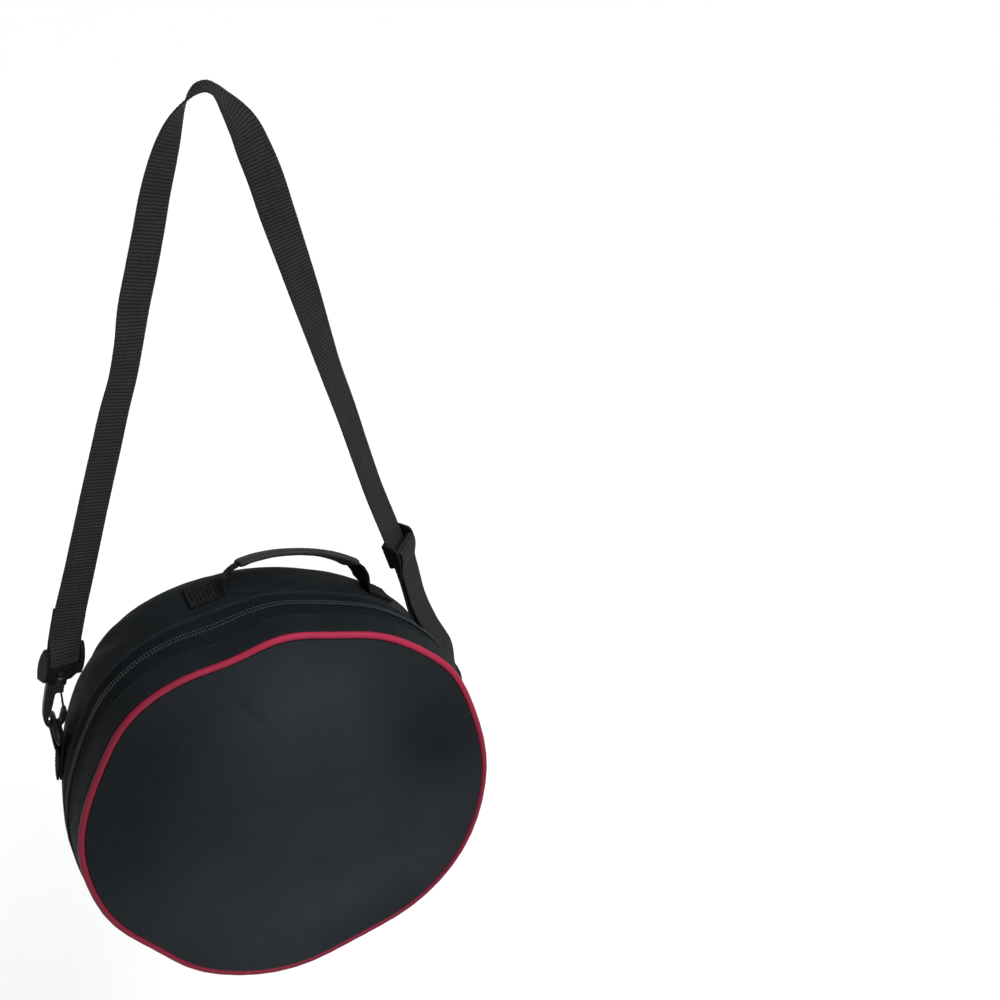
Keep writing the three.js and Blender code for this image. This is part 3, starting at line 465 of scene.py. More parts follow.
def sweep(centres, wide, section, closed=False, light=None):
    # Section points (across, over) carried along a line; wide is the direction across it
    rows = len(centres)
    if closed:
        along = np.roll(centres, -1, 0) - np.roll(centres, 1, 0)
    else:
        along = np.gradient(centres, axis=0)
    wide = unit(np.broadcast_to(wide, centres.shape))
    over = unit(np.cross(along, wide))
    section = np.broadcast_to(section, (rows, *np.shape(section)[-2:]))
    columns = section.shape[1]
    points = centres[:, None] + section[..., :1] * wide[:, None] + section[..., 1:] * over[:, None]
    faces = net(rows, columns, 0, True, True) if closed else tube(rows, columns)
    # light is the painted light and shade of each point; 1 leaves the colour as it is
    light = np.ones((rows, columns)) if light is None else light
    sideways = section[..., 0] + 0.3 * section[..., 1]
    cloth = np.stack([np.repeat(run_of(centres)[:, None], columns, 1), sideways, light], -1)
    return points.reshape(-1, 3), faces, cloth.reshape(-1, 3)


def smooth_line(points, step, samples=24):
    # Points every step along a smooth line through the given ones; columns after the third go along
    points = np.asarray(points, float)
    knot = run_of(points, 0.5)
    slope = np.gradient(points, knot, axis=0)
    fine = []
    for k in range(len(points) - 1):
        t = np.linspace(0, 1, samples, endpoint=False)[:, None]
        gap = knot[k + 1] - knot[k]
        fine.append((2 * t**3 - 3 * t**2 + 1) * points[k] + (t**3 - 2 * t**2 + t) * gap * slope[k]
                    + (3 * t**2 - 2 * t**3) * points[k + 1] + (t**3 - t**2) * gap * slope[k + 1])
    fine = np.concatenate([*fine, points[-1:]])
    run = run_of(fine)
    stops = np.linspace(0, run[-1], max(2, round(run[-1] / step) + 1))
    return np.stack([np.interp(stops, run, column) for column in fine.T], 1)


print("faces of a small tube", len(tube(3, 6)), "and of a small net", len(net(3, 6)))

# %% [markdown]
# The bag's form is one set of formulas. Going round the rim, the seam is a circle with soft flats and
# swells, where the load and the things inside push the cloth. Each of them is a bell curve in a short
# table. A drawn outline would do for one rim, but the table gives front and back rim and all between.

# %% Round the rim
SEAM_RADIUS = 152
BACK_TUCK = 12
TUCK_START = 0.72

Dent = namedtuple("Dent", "angle spread front back")
RIM_DENTS = [
    Dent(-56, 24, 0, -9.5), Dent(-32, 13, 8.5, -1), Dent(-4, 13, 5.5, 0), Dent(9, 26, 0, 4),
    Dent(36, 10, -2.2, 0), Dent(58, 12, 1.5, 0), Dent(103, 15, -1.6, -2), Dent(146, 18.5, 8.2, 4),
    Dent(184, 20, 2.3, 1), Dent(213, 14, 6, 4), Dent(258, 15, -2.4, 5), Dent(297, 12, -4, 0),
]


def hump(distance, spread):
    return np.exp(-((distance / spread) ** 2))


def wrapped(degrees):
    return (degrees + 180) % 360 - 180


def mix(a, b, t):
    return a + (b - a) * t


def smooth(t):
    k = np.clip(t, 0, 1)
    return k * k * (3 - 2 * k)


def outward(theta):
    turn = np.radians(theta)
    return np.stack([np.sin(turn), 0 * turn, np.cos(turn)], -1)


def upward(theta):
    turn = np.radians(theta)
    return np.stack([-np.cos(turn), 0 * turn, np.sin(turn)], -1)


def seam_radius(theta, v):
    # v goes from 0 at the front rim to 1 at the back rim
    radius = SEAM_RADIUS - BACK_TUCK * np.clip((v - TUCK_START) / (1 - TUCK_START), 0, 1) ** 2 + 0 * theta
    for dent in RIM_DENTS:
        radius = radius - mix(dent.front, dent.back, v) * hump(wrapped(theta - dent.angle), dent.spread)
    return radius


front_seam = seam_radius(np.arange(360.0), 0)
print("front seam radius from", round(front_seam.min(), 1), "to", round(front_seam.max(), 1), "mm")

# %% [markdown]
# Between the rims the gusset's cloth bulges, with a few pressed folds and many fine creases. A cloth
# simulation would put them anywhere. A table of slanted bell curves puts each where it is on the bag, and
# the large folds are those of the solid model. A slow ripple comes on top, because real nylon is never
# quite even, and where something is sewn on the cloth stays flat.

# %% Surface of the gusset
BAG_DEPTH = 118
GUSSET_BULGE = 6.5
GUSSET_WALL = 3
GUSSET_RIPPLE = 0.5
BELT_Y = 13
SEWN_ON = (-84.7, -92, -33, 20, 84, 91.5)

Fold = namedtuple("Fold", "angle y slant length width depth")
PRESSED_FOLDS = [
    Fold(62, 4, 0, 58, 30, 17.5), Fold(43, 7, 0, 30, 16, 10), Fold(50, 36, 35, 30, 9, 4),
    Fold(-30, -40, 0, 28, 16, 3.5), Fold(-60, 28, -30, 30, 9, 3.5), Fold(138, 4, 22, 42, 13, 5),
    Fold(-140, -8, -18, 40, 13, 4),
]
FINE_CREASES = [
    Fold(44, 24, 42, 24, 3.4, 1.5), Fold(54, 40, 44, 22, 3.0, 1.7), Fold(63, 47, 40, 16, 2.8, 1.2),
    Fold(36, 8, 40, 13, 2.8, 1.2), Fold(72, 44, 36, 14, 3.0, 1.0), Fold(104, 34, -24, 22, 3.4, 1.3),
    Fold(118, -30, 20, 24, 3.6, 1.4), Fold(-52, 40, -40, 20, 3.2, 1.2), Fold(-66, 44, -36, 16, 2.8, 1.0),
    Fold(-24, 44, -26, 24, 3.4, 1.1), Fold(-40, 2, -20, 20, 3.6, 1.7), Fold(-118, 30, 22, 24, 3.4, 1.3),
    Fold(-21, 0, -27, 15, 3.0, 3.0), Fold(-25, -5, -36, 11, 2.6, 2.2), Fold(-16, 9, -20, 17, 3.6, 2.6),
    Fold(160, 30, 26, 26, 4.0, 1.4), Fold(-160, -36, 24, 24, 4.0, 1.3), Fold(10, 46, 12, 26, 3.6, 1.6),
]
RIPPLE_WAVES = np.random.default_rng(11).uniform((0.5, 0, 0), (1.6, 2 * math.pi, 2 * math.pi), (7, 3))


def ripple(a, b, length):
    # Slow uneven waves of about this length, between -1 and 1
    total = 0
    for stretch, way, phase in RIPPLE_WAVES:
        run = a * math.cos(way) + b * math.sin(way)
        total = total + np.sin(2 * math.pi * stretch * run / length + phase)
    return total / len(RIPPLE_WAVES)


def slanted(a, b, mark):
    # Depth of a fold or crease at a distance a along and b across from its middle
    c, s = math.cos(math.radians(mark.slant)), math.sin(math.radians(mark.slant))
    return mark.depth * hump(a * c + b * s, mark.length) * hump(b * c - a * s, mark.width)


def pressed(folds, theta, y):
    depth = 0
    for fold in folds:
        along = np.radians(wrapped(theta - fold.angle)) * SEAM_RADIUS
        depth = depth + slanted(along, y - fold.y, fold)
    return depth


def gusset_radius(theta, y):
    v = (y + BAG_DEPTH / 2) / BAG_DEPTH
    swell = 4 * v * (1 - v)
    round_way = np.radians(theta) * SEAM_RADIUS
    fine = pressed(FINE_CREASES, theta, y) - GUSSET_RIPPLE * ripple(round_way, y, 46)
    for angle in SEWN_ON:
        fine = fine * (1 - hump(wrapped(theta - angle), 11) * hump(y - BELT_Y, 20))
    soft = pressed(PRESSED_FOLDS, theta, y) + fine
    return seam_radius(theta, v) + GUSSET_BULGE * swell - soft * np.minimum(1, 1.5 * swell)


def gusset_point(theta, y, lift):
    theta, y = np.broadcast_arrays(np.asarray(theta, float), np.asarray(y, float))
    point = outward(theta) * (gusset_radius(theta, y) + GUSSET_WALL / 2 + lift)[..., None]
    point[..., 1] = y
    return point


print("gusset at the top", round(float(gusset_radius(0.0, 0.0)), 1), "mm from the middle")

# %% [markdown]
# The formulas stand the bag upright. It hangs turned, because one branch of the strap is shorter, so
# every finished point is turned about the bag's middle and lowered. Turning the objects would do as well,
# but the solid model is already in the hanging place, and both then share one frame.

# %% Place of the bag
BAG_TILT = math.radians(18.26)
BAG_DROP = 514.4
BAG_TURN = np.array([[math.cos(BAG_TILT), 0, math.sin(BAG_TILT)], [0, 1, 0],
                     [-math.sin(BAG_TILT), 0, math.cos(BAG_TILT)]])
BAG_PLACE = np.array([0, -BELT_Y, -BAG_DROP])
BACKWARD = np.array([0.0, 1.0, 0.0])


def to_row(points):
    return np.asarray(points) @ BAG_TURN.T + BAG_PLACE


print("top of the front seam at", to_row(outward(0.0) * front_seam[0] - BACKWARD * BAG_DEPTH / 2).round(1))

# %% [markdown]
# The panels are foam between two cloths, so they crown softly and have shallow hollows. An inflated disc
# would be too even. A polar net follows the uneven rim exactly. Close to the seam the cloth puckers where
# the sewing gathers it, and short creases run in from the flats. Listed patches of painted light and
# painted shade lighten and darken the cloth, and painted shade darkens it along the seam.

# %% Padded panels
FRONT, BACK = -1, 1
PANEL_WALL = 4
PANEL_CLEAR = 0.15
PANEL_SECTORS = 288
PANEL_RINGS = 52
PANEL_PUCKER = 0.28
PANEL_RIPPLE = 0.45
PIPING_RADIUS = 2.5
CROWN = {FRONT: 15, BACK: 26}

Hollow = namedtuple("Hollow", "x z spread depth")
PANEL_HOLLOWS = {
    FRONT: [Hollow(-66, 100, 42, 6), Hollow(82, -96, 44, 6), Hollow(10, 118, 34, 4), Hollow(90, 62, 32, 5)],
    BACK: [Hollow(40, 104, 46, 5), Hollow(-78, -84, 46, 5)],
}
Crease = namedtuple("Crease", "x z slant length width depth")
PANEL_CREASES = {
    FRONT: [Crease(-70, 92, -38, 26, 4.0, 1.5), Crease(-58, 84, -30, 22, 3.6, 1.2),
            Crease(-98, 66, -22, 20, 3.6, 1.4), Crease(-88, 56, -14, 16, 3.2, 1.0),
            Crease(66, -104, -42, 24, 4.5, 0.8)],
    BACK: [Crease(30, 112, -70, 24, 4.0, 1.0), Crease(-74, -94, 46, 26, 4.5, 0.9),
           Crease(84, 70, 40, 22, 4.0, 0.7)],
}
# Patches painted into a panel's colour: painted light where share is above 0, painted shade where below 0
PaintedShading = namedtuple("PaintedShading", "x z spread share")
PAINTED_SHADING_PLACES = {
    FRONT: [PaintedShading(-18, 104, 48, 0.44), PaintedShading(30, -78, 66, 0.26), PaintedShading(87, 69, 38, -0.56),
            PaintedShading(-138, -6, 64, -0.58), PaintedShading(-104, 66, 34, -0.22)],
    BACK: [PaintedShading(20, 40, 70, 0.20), PaintedShading(-96, -60, 50, -0.25), PaintedShading(110, 10, 44, -0.20)],
}


def rim_radius(side, theta):
    return seam_radius(theta, (side + 1) / 2)


def panel_point(side, theta, rho, lift):
    reach = rim_radius(side, theta) - PIPING_RADIUS - PANEL_CLEAR
    point = outward(theta) * (reach * rho)[..., None]
    x, z = point[..., 0], point[..., 2]
    loose = 1 - rho**4
    sunk = sum(h.depth * hump(np.hypot(x - h.x, z - h.z), h.spread) for h in PANEL_HOLLOWS[side])
    sunk = sunk + sum(slanted(x - crease.x, z - crease.z, crease) for crease in PANEL_CREASES[side])
    rim_way = np.radians(theta) * SEAM_RADIUS
    pucker = PANEL_PUCKER * np.sin(rim_way / 2.1 + 1.6 * np.sin(rim_way / 23)) * hump(1 - rho, 0.045)
    rise = CROWN[side] * (1 - rho**2.4) + pucker * smooth((1 - rho) / 0.02)
    rise = rise + (PANEL_RIPPLE * ripple(x, z, 70) - sunk) * loose
    point[..., 1] = side * (BAG_DEPTH / 2 + rise + lift)
    return point


def painted_shading(side, x, z, rho):
    # Painted light and shade of the cloth: lightest on the crown, darkest along the seam, plus the patches
    share = 0.62 - 0.20 * smooth((rho - 0.6) / 0.4) + 0.10 * ripple(x, z, 95)
    for place in PAINTED_SHADING_PLACES[side]:
        share = share + place.share * hump(np.hypot(x - place.x, z - place.z), place.spread)
    return np.clip(share, 0.08, 1)


def panel(name, side):
    theta, rho = np.meshgrid(np.arange(PANEL_SECTORS) * 360 / PANEL_SECTORS,
                             1 - (1 - np.linspace(0.012, 1, PANEL_RINGS)) ** 1.25)
    layers = [panel_point(side, theta, rho, lift) for lift in (PANEL_WALL / 2, -PANEL_WALL / 2)]
    count = theta.size
    over, under = (net(PANEL_RINGS, PANEL_SECTORS, start, ring_columns=True) for start in (0, count))
    middle = [list(range(PANEL_SECTORS))[::-1], list(range(count, count + PANEL_SECTORS))]
    rim = bridge(count - PANEL_SECTORS, count, PANEL_SECTORS)
    faces = over + [f[::-1] for f in under] + middle + rim
    points = np.concatenate([layer.reshape(-1, 3) for layer in layers])
    x, z = points[:, 0], points[:, 2]
    # the third column is the panel's painted light and shade
    cloth = np.column_stack([x, z, painted_shading(side, x, z, np.tile(rho.ravel(), 2))])
    piece = make_piece(name, to_row(points), faces, cloth, panel_cloth)
    return piece


settle_in(panel("front_panel_pad", FRONT), "panel_cloth", "front_panel")
settle_in(panel("back_panel_pad", BACK), "panel_cloth", "back_panel")

# %% [markdown]
# Piping is a cord in a folded strip of red cloth, caught in the seam. A bevelled curve would give an even
# tube. The strip pulls a little at each stitch, so the round section is swept with a swell that comes and
# goes. Its colour has a painted highlight: it is painted brightest at the top, where light falls on it.

# %% Red piping
PIPING_STEP = 0.5


def piping(name, side):
    theta = np.arange(0, 360, PIPING_STEP)
    centres = outward(theta) * rim_radius(side, theta)[:, None]
    centres[:, 1] = side * BAG_DEPTH / 2
    rim_way = np.radians(theta) * SEAM_RADIUS
    swell = PIPING_RADIUS * (1 + 0.022 * np.sin(rim_way / 2.4) + 0.02 * ripple(rim_way, 0 * rim_way, 30))
    section = swell[:, None, None] * circle(20)
    # painted highlight: the piping's colour is painted brighter towards the top
    painted_top_highlight = np.repeat(0.25 + 0.75 * hump(wrapped(theta - 5), 52)[:, None], 20, 1)
    points, faces, cloth = sweep(centres, outward(theta), section, True, painted_top_highlight)
    return make_piece(name, to_row(points), faces, cloth, piping_cloth)


settle_in(piping("front_piping", FRONT), "piping", "piping_front")
settle_in(piping("back_piping", BACK), "piping", "piping_back")

# %% [markdown]
# The gusset is cut in three: a band before the zip, a wide band behind it, and the plain base under
# both. Beside the zip the cloth is folded under, so its edge rolls down, and each rim dips into the
# piping seam. Puckers along the seams could come from a simulation, but a sine whose pace wanders looks
# as gathered cloth does, and follows the seam.

# %% Gusset bands
ZIP_Y = -23.5
ZIP_END = 110
TEETH_WIDTH = 6
TAPE_WIDTH = 9
GAP = 0.3
ROLL = 2.2
BAND_TURN = 0.6
BAND_STEP = 1.7
BAND_PUCKER = 0.22
TAPE_EDGE = TEETH_WIDTH / 2 + GAP + TAPE_WIDTH
FRONT_FOLD = ZIP_Y - TAPE_EDGE - GAP
BACK_FOLD = ZIP_Y + TAPE_EDGE + GAP
RIM_EDGE = BAG_DEPTH / 2 - PIPING_RADIUS - PANEL_CLEAR
BASE_START = ZIP_END + 0.12


def edge_roll(distance, width):
    # How far cloth drops at a distance from its folded edge
    near = np.clip(1 - distance / width, 0, 1)
    return 1 - np.sqrt(1 - near**2)


def gusset_band(name, start, end, from_y, to_y, node, roll_front, roll_back):
    turns = np.arange(start, end + 0.01, (end - start) / round((end - start) / BAND_TURN))
    rows = np.linspace(from_y, to_y, max(8, round((to_y - from_y) / BAND_STEP)))
    theta, y = np.meshgrid(turns, rows, indexing="ij")
    way = np.radians(theta) * SEAM_RADIUS
    front, back = y - from_y, to_y - y
    drop = roll_front * edge_roll(front, ROLL) + roll_back * edge_roll(back, ROLL)
    gather = hump(front, 7) * smooth(front / 3) + hump(back, 7) * smooth(back / 3)
    lift = -drop + BAND_PUCKER * np.sin(way / 2.3 + 1.7 * np.sin(way / 31)) * gather
    outer = gusset_point(theta, y, lift)
    inner = gusset_point(theta, y, np.minimum(lift, 0) * 0.2 - GUSSET_WALL)
    points, faces, cloth = wall(outer, inner, np.stack([way, y], -1))
    piece = make_piece(name, to_row(points), faces, cloth, gusset_cloth)
    settle_in(piece, "gusset_cloth", node)


gusset_band("front_band", -ZIP_END, ZIP_END, -RIM_EDGE, FRONT_FOLD, "gusset_front", 0.6, 1.3)
gusset_band("back_band", -ZIP_END, ZIP_END, BACK_FOLD, RIM_EDGE, "gusset_back", 1.3, 0.6)
gusset_band("base_band", BASE_START, 360 - BASE_START, -RIM_EDGE, RIM_EDGE, "gusset_base", 0.6, 0.6)

# %% [markdown]
# A stitch is a short bent bit of thread whose two ends dive into the cloth. A dashed bump would not show
# from the side, so each stitch is a small tube. A row is worked out once: the line is cut into equal
# steps, and each step gets one tube. All the rows of a kind are joined to one piece.

# %% Helpers for stitches
THREAD_RADIUS = 0.32
THREAD_STEP = 0.25
THREAD_BOW = np.array([-0.32, 0.02, 0.16, 0.16, 0.02, -0.32])[:, None]
THREAD_LIFT = 0.12
SHORT_STITCH = (2.0, 0.7)


def stitches(line, over, length=2.5, gap=0.8):
    # line and over: points on the cloth and the way out of it
    path = smooth_line(np.concatenate([line, over], 1), THREAD_STEP, 6)
    per = round((length + gap) / THREAD_STEP)
    used = round(length / THREAD_STEP)
    parts = []
    for start in range(0, len(path) - used, per):
        run = path[np.linspace(start, start + used, len(THREAD_BOW)).round().astype(int)]
        out = unit(run[:, 3:])
        centres = run[:, :3] + out * THREAD_BOW
        wide = np.cross(np.gradient(centres, axis=0), out)
        parts.append(sweep(centres, wide, circle(6, THREAD_RADIUS)))
    return parts


def cross_box(near, far, half):
    # A sewn box with both diagonals: for each line, the places along and across the webbing
    a, b, c, d = (near, -half), (far, -half), (far, half), (near, half)
    return [np.linspace(*ends, 20).T for ends in ((a, b), (b, c), (c, d), (d, a), (a, c), (b, d))]


def sewn(name, parts, slot, finish=thread_cloth, place=to_row):
    points, faces, cloth = joined(parts)
    settle_in(make_piece(name, place(points), faces, cloth, finish), slot)


print("a sewn box has", len(cross_box(0, 1, 1)), "rows of stitches")

# %% [markdown]
# The zip is a nylon coil between two tapes. The tapes lie a little lower than the gusset's folded edges
# and just reach them, so nothing shows between. They are walls on the gusset's own formula, and so they
# share its folds. Faint ribs along them are the tape's thick warp threads.

# %% Zip tapes
TAPE_SINK = 0.8
TAPE_WALL = 1.2
TAPE_RIB = 0.07
RIB_SPACING = 2.2
TAPE_NEAR = TEETH_WIDTH / 2 + 0.05
TAPE_FAR = TAPE_EDGE + GAP + 0.2
ZIP_TURNS = np.linspace(-ZIP_END, ZIP_END, 441)


def zip_tape(name, near, far, node):
    theta, y = np.meshgrid(ZIP_TURNS, np.linspace(near, far, 9), indexing="ij")
    rib = TAPE_RIB * np.cos((y - ZIP_Y) * 2 * math.pi / RIB_SPACING)
    grids = [gusset_point(theta, y, lift) for lift in (rib - TAPE_SINK, -TAPE_SINK - TAPE_WALL)]
    points, faces, cloth = wall(*grids, np.stack([np.radians(theta) * SEAM_RADIUS, y], -1))
    settle_in(make_piece(name, to_row(points), faces, cloth, tape_cloth), "zip_tape", node)


zip_tape("zip_tape_front_half", ZIP_Y - TAPE_FAR, ZIP_Y - TAPE_NEAR, "zip_tape_front")
zip_tape("zip_tape_back_half", ZIP_Y + TAPE_NEAR, ZIP_Y + TAPE_FAR, "zip_tape_back")

# %% [markdown]
# Each half of the coil is a spring of small loops, and the loops of the two halves mesh along the middle.
# A whole spring has a back that never shows. Short bent tubes on a flat bed, in two rows that are half a
# step apart, look the same with far fewer faces.

# %% Zip coil
COIL_PITCH = 1.55
COIL_RADIUS = 0.5
COIL_TURN = math.degrees(COIL_PITCH / (SEAM_RADIUS + GUSSET_BULGE))


def coil_loop(middle, half):
    reach = np.linspace(0, 1, 7)
    angle = middle + COIL_TURN * 0.28 * (reach - 0.5)
    y = ZIP_Y + half * mix(TEETH_WIDTH / 2 - 0.25, -0.75, reach)
    lift = -0.55 + 0.62 * np.sin(math.pi * np.clip(reach * 0.92 + 0.06, 0, 1)) ** 0.7
    return sweep(gusset_point(angle, y, lift), upward(angle), circle(7, COIL_RADIUS))


def coil():
    half_width = TEETH_WIDTH / 2
    theta, y = np.meshgrid(ZIP_TURNS, ZIP_Y + np.linspace(-half_width, half_width, 5), indexing="ij")
    bed = [gusset_point(theta, y, lift) for lift in (-0.75, -TAPE_SINK - TAPE_WALL - 0.6)]
    parts = [wall(*bed, np.stack([np.radians(theta) * SEAM_RADIUS, y], -1))]
    for half, shift in ((-1, 0.0), (1, 0.5)):
        middles = np.arange(-ZIP_END + 1 + shift * COIL_TURN, ZIP_END - 1, COIL_TURN)
        parts += [coil_loop(middle, half) for middle in middles]
    points, faces, cloth = joined(parts)
    return make_piece("zip_coil", to_row(points), faces, cloth, coil_plastic)


settle_in(coil(), "zip_coil", "zip_teeth")

# %% [markdown]
# Sewing shows in two ways at the zip. A row of dark stitches runs along each folded edge and across each
# end, and two pale dotted rows run over the coil, which hold it to its tapes. Both are rows of the same
# small tubes, and only thread and spacing differ.

# %% Zip stitches


def zip_stitches():
    parts = []
    for y in (FRONT_FOLD - 2.4, BACK_FOLD + 2.4):
        parts += stitches(gusset_point(ZIP_TURNS, y, 0.05), outward(ZIP_TURNS))
    for end in (-ZIP_END, ZIP_END):
        y = np.linspace(ZIP_Y - TAPE_EDGE, ZIP_Y + TAPE_EDGE, 12)
        angle = np.full(12, end + math.copysign(1.3, end))
        parts += stitches(gusset_point(angle, y, 0.05), outward(angle), 2.2, 0.7)
    return parts


def coil_stitches():
    theta = np.linspace(-ZIP_END + 1, ZIP_END - 1, 441)
    rows = [stitches(gusset_point(theta, ZIP_Y + y, 0.45), outward(theta), 1.25, 1.25) for y in (-1.5, 1.5)]
    return rows[0] + rows[1]


sewn("zip_stitches", zip_stitches(), "zip_tape")
sewn("coil_stitches", coil_stitches(), "zip_coil", coil_thread_cloth)

# %% [markdown]
# Webbing is woven so thick that its weave is a shape of its own. The handle's webbing has rows of small
# pillows, each row half a pillow out of step with the next, and the strap has fine ribs across it. Bump
# alone would leave a smooth outline, so a flat section with round edges is swept along the piece, and its
# faces rise and fall by a small height.

# %% Helpers for webbing
WEB_WIDTH = 25
PILLOW_ROW = 3.0
PILLOW_COUNT = 12
PILLOW_MEAN = 0.6


def web_section(width, thick, across):
    # Points round a flat section, and for each the side of the face that it lies on
    half, r = width / 2, thick / 2
    s = np.linspace(-half + r, half - r, across)
    right = [(half - r + r * math.cos(a), r * math.sin(a)) for a in np.radians([45, 0, -45])]
    section = [(x, r) for x in s] + right + [(x, -r) for x in s[::-1]] + [(-x, -h) for x, h in right]
    face = [1] * across + [0] * 3 + [-1] * across + [0] * 3
    return np.array(section), np.array(face)


def pillows(run, s):
    # Basket weave: rows of pillows, each row shifted by half a pillow
    shift = np.floor(run / PILLOW_ROW) % 2 * 0.5
    hill = np.abs(np.sin(math.pi * run / PILLOW_ROW))
    bead = np.abs(np.sin(math.pi * (s / WEB_WIDTH * PILLOW_COUNT + shift)))
    return np.sqrt(hill) * np.sqrt(bead)


def ribs(run, s, pitch):
    # Ribs across the webbing, a little uneven along their length
    wander = 0.2 * np.sin(2 * math.pi * s / 9 + run / 17)
    return np.abs(np.sin(math.pi * (run + wander) / pitch)) * (0.92 + 0.08 * np.cos(2 * math.pi * s / 1.9))


print("webbing", WEB_WIDTH, "mm wide, with", PILLOW_COUNT, "pillows in a row")

# %% [markdown]
# The carry handle is a length of webbing sewn flat to the gusset at both ends. It leans back a little as
# it hangs. A curve drawn by hand would miss the cloth under it, so its line is a short table of angles
# and heights for one half, which is mirrored and smoothed, and the sewn ends follow the gusset.

# %% Line of the handle
HANDLE_AT = -5.3
HANDLE_ROUND = 157.4
HANDLE_RIGHT = 0.87
HANDLE_LEAN = 25

Rise = namedtuple("Rise", "angle rise")
HANDLE_HALF = [
    Rise(31, 0), Rise(28, 0), Rise(25.5, 0), Rise(23.7, 0), Rise(22.3, 0.6),
    Rise(21.2, 2.5), Rise(20.3, 5.2), Rise(19.4, 8.2), Rise(18, 11.2), Rise(15.8, 13.5),
    Rise(12.9, 15.1), Rise(9.6, 16.1), Rise(6.4, 16.7), Rise(3.2, 16.9), Rise(0, 17),
]


def handle_line(step):
    half = np.array(HANDLE_HALF)
    turn = np.concatenate([-half[:, 0], HANDLE_RIGHT * half[-2::-1, 0]])
    rise = np.concatenate([half[:, 1], half[-2::-1, 1]])
    way = np.stack([np.radians(turn) * HANDLE_ROUND, rise, 0 * rise, turn], 1)
    fine = smooth_line(way, step)
    turn, rise = fine[:, 3], np.maximum(fine[:, 1], 0)
    angle = HANDLE_AT + turn
    loose = smooth(rise / 8)
    lean = np.radians(HANDLE_LEAN * loose)[:, None]
    stand = outward(angle) * np.cos(lean) + BACKWARD * np.sin(lean)
    wide = BACKWARD * np.cos(lean) - outward(angle) * np.sin(lean)
    foot = mix(gusset_radius(angle, BELT_Y) + GUSSET_WALL / 2, HANDLE_ROUND, loose)
    at = outward(angle) * foot[:, None] + BACKWARD * BELT_Y + stand * rise[:, None]
    return turn, angle, loose, at, wide


print("handle line of", round(run_of(handle_line(0.5)[3])[-1]), "mm")

# %% [markdown]
# The webbing is swept along that line, with pillows on both faces. A sweep alone would float over the
# rounded gusset at its edges, so where it is sewn down each point also drops with the cloth under it.

# %% Handle webbing
HANDLE_WEB = 2
HANDLE_STEP = 0.5
HANDLE_RELIEF = 0.3


def handle_web():
    turn, angle, loose, at, wide = handle_line(HANDLE_STEP)
    section, face = web_section(WEB_WIDTH, HANDLE_WEB, 37)
    run = np.arange(len(at)) * HANDLE_STEP
    relief = pillows(run[:, None], section[None, :, 0])
    rows = np.repeat(section[None], len(at), 0)
    rows[..., 1] += HANDLE_RELIEF * (relief - PILLOW_MEAN) * face[None, :] + GAP + HANDLE_WEB / 2
    # the pillow height also paints shade into the colour: painted shade in the dips between pillows
    points, faces, cloth = sweep(at, wide, rows, light=relief)
    s = rows[..., 0].reshape(-1)
    angle, loose = (np.repeat(values, len(section)) for values in (angle, loose))
    dip = gusset_radius(angle, BELT_Y + s) - gusset_radius(angle, BELT_Y + 0 * s)
    points = points + outward(angle) * (dip * (1 - loose))[..., None]
    return make_piece("handle_webbing", to_row(points), faces, cloth, belt_cloth)


settle_in(handle_web(), "webbing", "handle_web")

# %% [markdown]
# A cloth sleeve goes round the middle of the handle, so that it doesn't cut the hand. It is a squared
# oval, swept twice on the handle's line for its outside and inside, with a hem at both ends and a sewn
# seam along its top. A solidified tube would have no hem, and the hem is what makes it cloth.

# %% Grip
GRIP_HALF_ANGLE = 16
GRIP_GAP = 0.5
GRIP_WALL = 1.3
GRIP_STEP = 0.7
GRIP_SIDES = 56


def gripped(turn, margin):
    return (turn > margin - GRIP_HALF_ANGLE) & (turn < GRIP_HALF_ANGLE * HANDLE_RIGHT - margin)


def handle_grip():
    turn, angle, loose, at, wide = handle_line(GRIP_STEP)
    held = gripped(turn, 0)
    c, s = circle(GRIP_SIDES).T
    oval = np.stack([np.sign(c) * np.abs(c) ** 0.5, np.sign(s) * np.abs(s) ** 0.6], 1)[None]
    inner = np.array([WEB_WIDTH / 2 + 0.9, HANDLE_WEB / 2 + GRIP_GAP])
    outer = inner + GRIP_WALL * np.array([0.8, 1])
    run = np.arange(held.sum()) * GRIP_STEP
    ends = np.minimum(run, run[::-1])
    hem = 0.25 * hump(ends - 3.2, 2.4) - 0.6 * edge_roll(ends, 1.6)
    swell = hem[:, None] + 0.2 * ripple(run[:, None], 9 * c[None], 24)
    seam = -0.35 * hump(oval[..., 0] * outer[0], 1.2) * (oval[..., 1] > 0)
    sides = []
    for size, bulge, dip in ((outer, swell, seam), (inner, 0 * swell, 0)):
        rows = oval * (size + bulge[..., None])
        rows[..., 1] += GAP + HANDLE_WEB / 2 + dip
        sides.append(sweep(at[held], wide[held], rows))
    shift = len(run) * GRIP_SIDES
    over, under = (net(len(run), GRIP_SIDES, start, ring_columns=True) for start in (0, shift))
    far_end = bridge(shift - GRIP_SIDES, shift, GRIP_SIDES)
    faces = over + [f[::-1] for f in under + far_end] + bridge(0, shift, GRIP_SIDES)
    points, cloth = (np.concatenate([sides[0][k], sides[1][k]]) for k in (0, 2))
    return make_piece("handle_sleeve", to_row(points), faces, cloth, grip_cloth)


settle_in(handle_grip(), "grip_cloth", "handle_grip")

# %% [markdown]
# Each end of the handle is sewn down by a box with two diagonals, the usual way to fasten webbing that
# carries weight, and one row closes the sleeve. Rows of stitch tubes on the gusset's formula, lifted by
# the webbing's thickness, lie on it without a search for the surface.

# %% Handle stitches
HANDLE_BOX_NEAR = 24.2
HANDLE_BOX_FAR = 30.4
HANDLE_BOX_HALF = WEB_WIDTH / 2 - 3


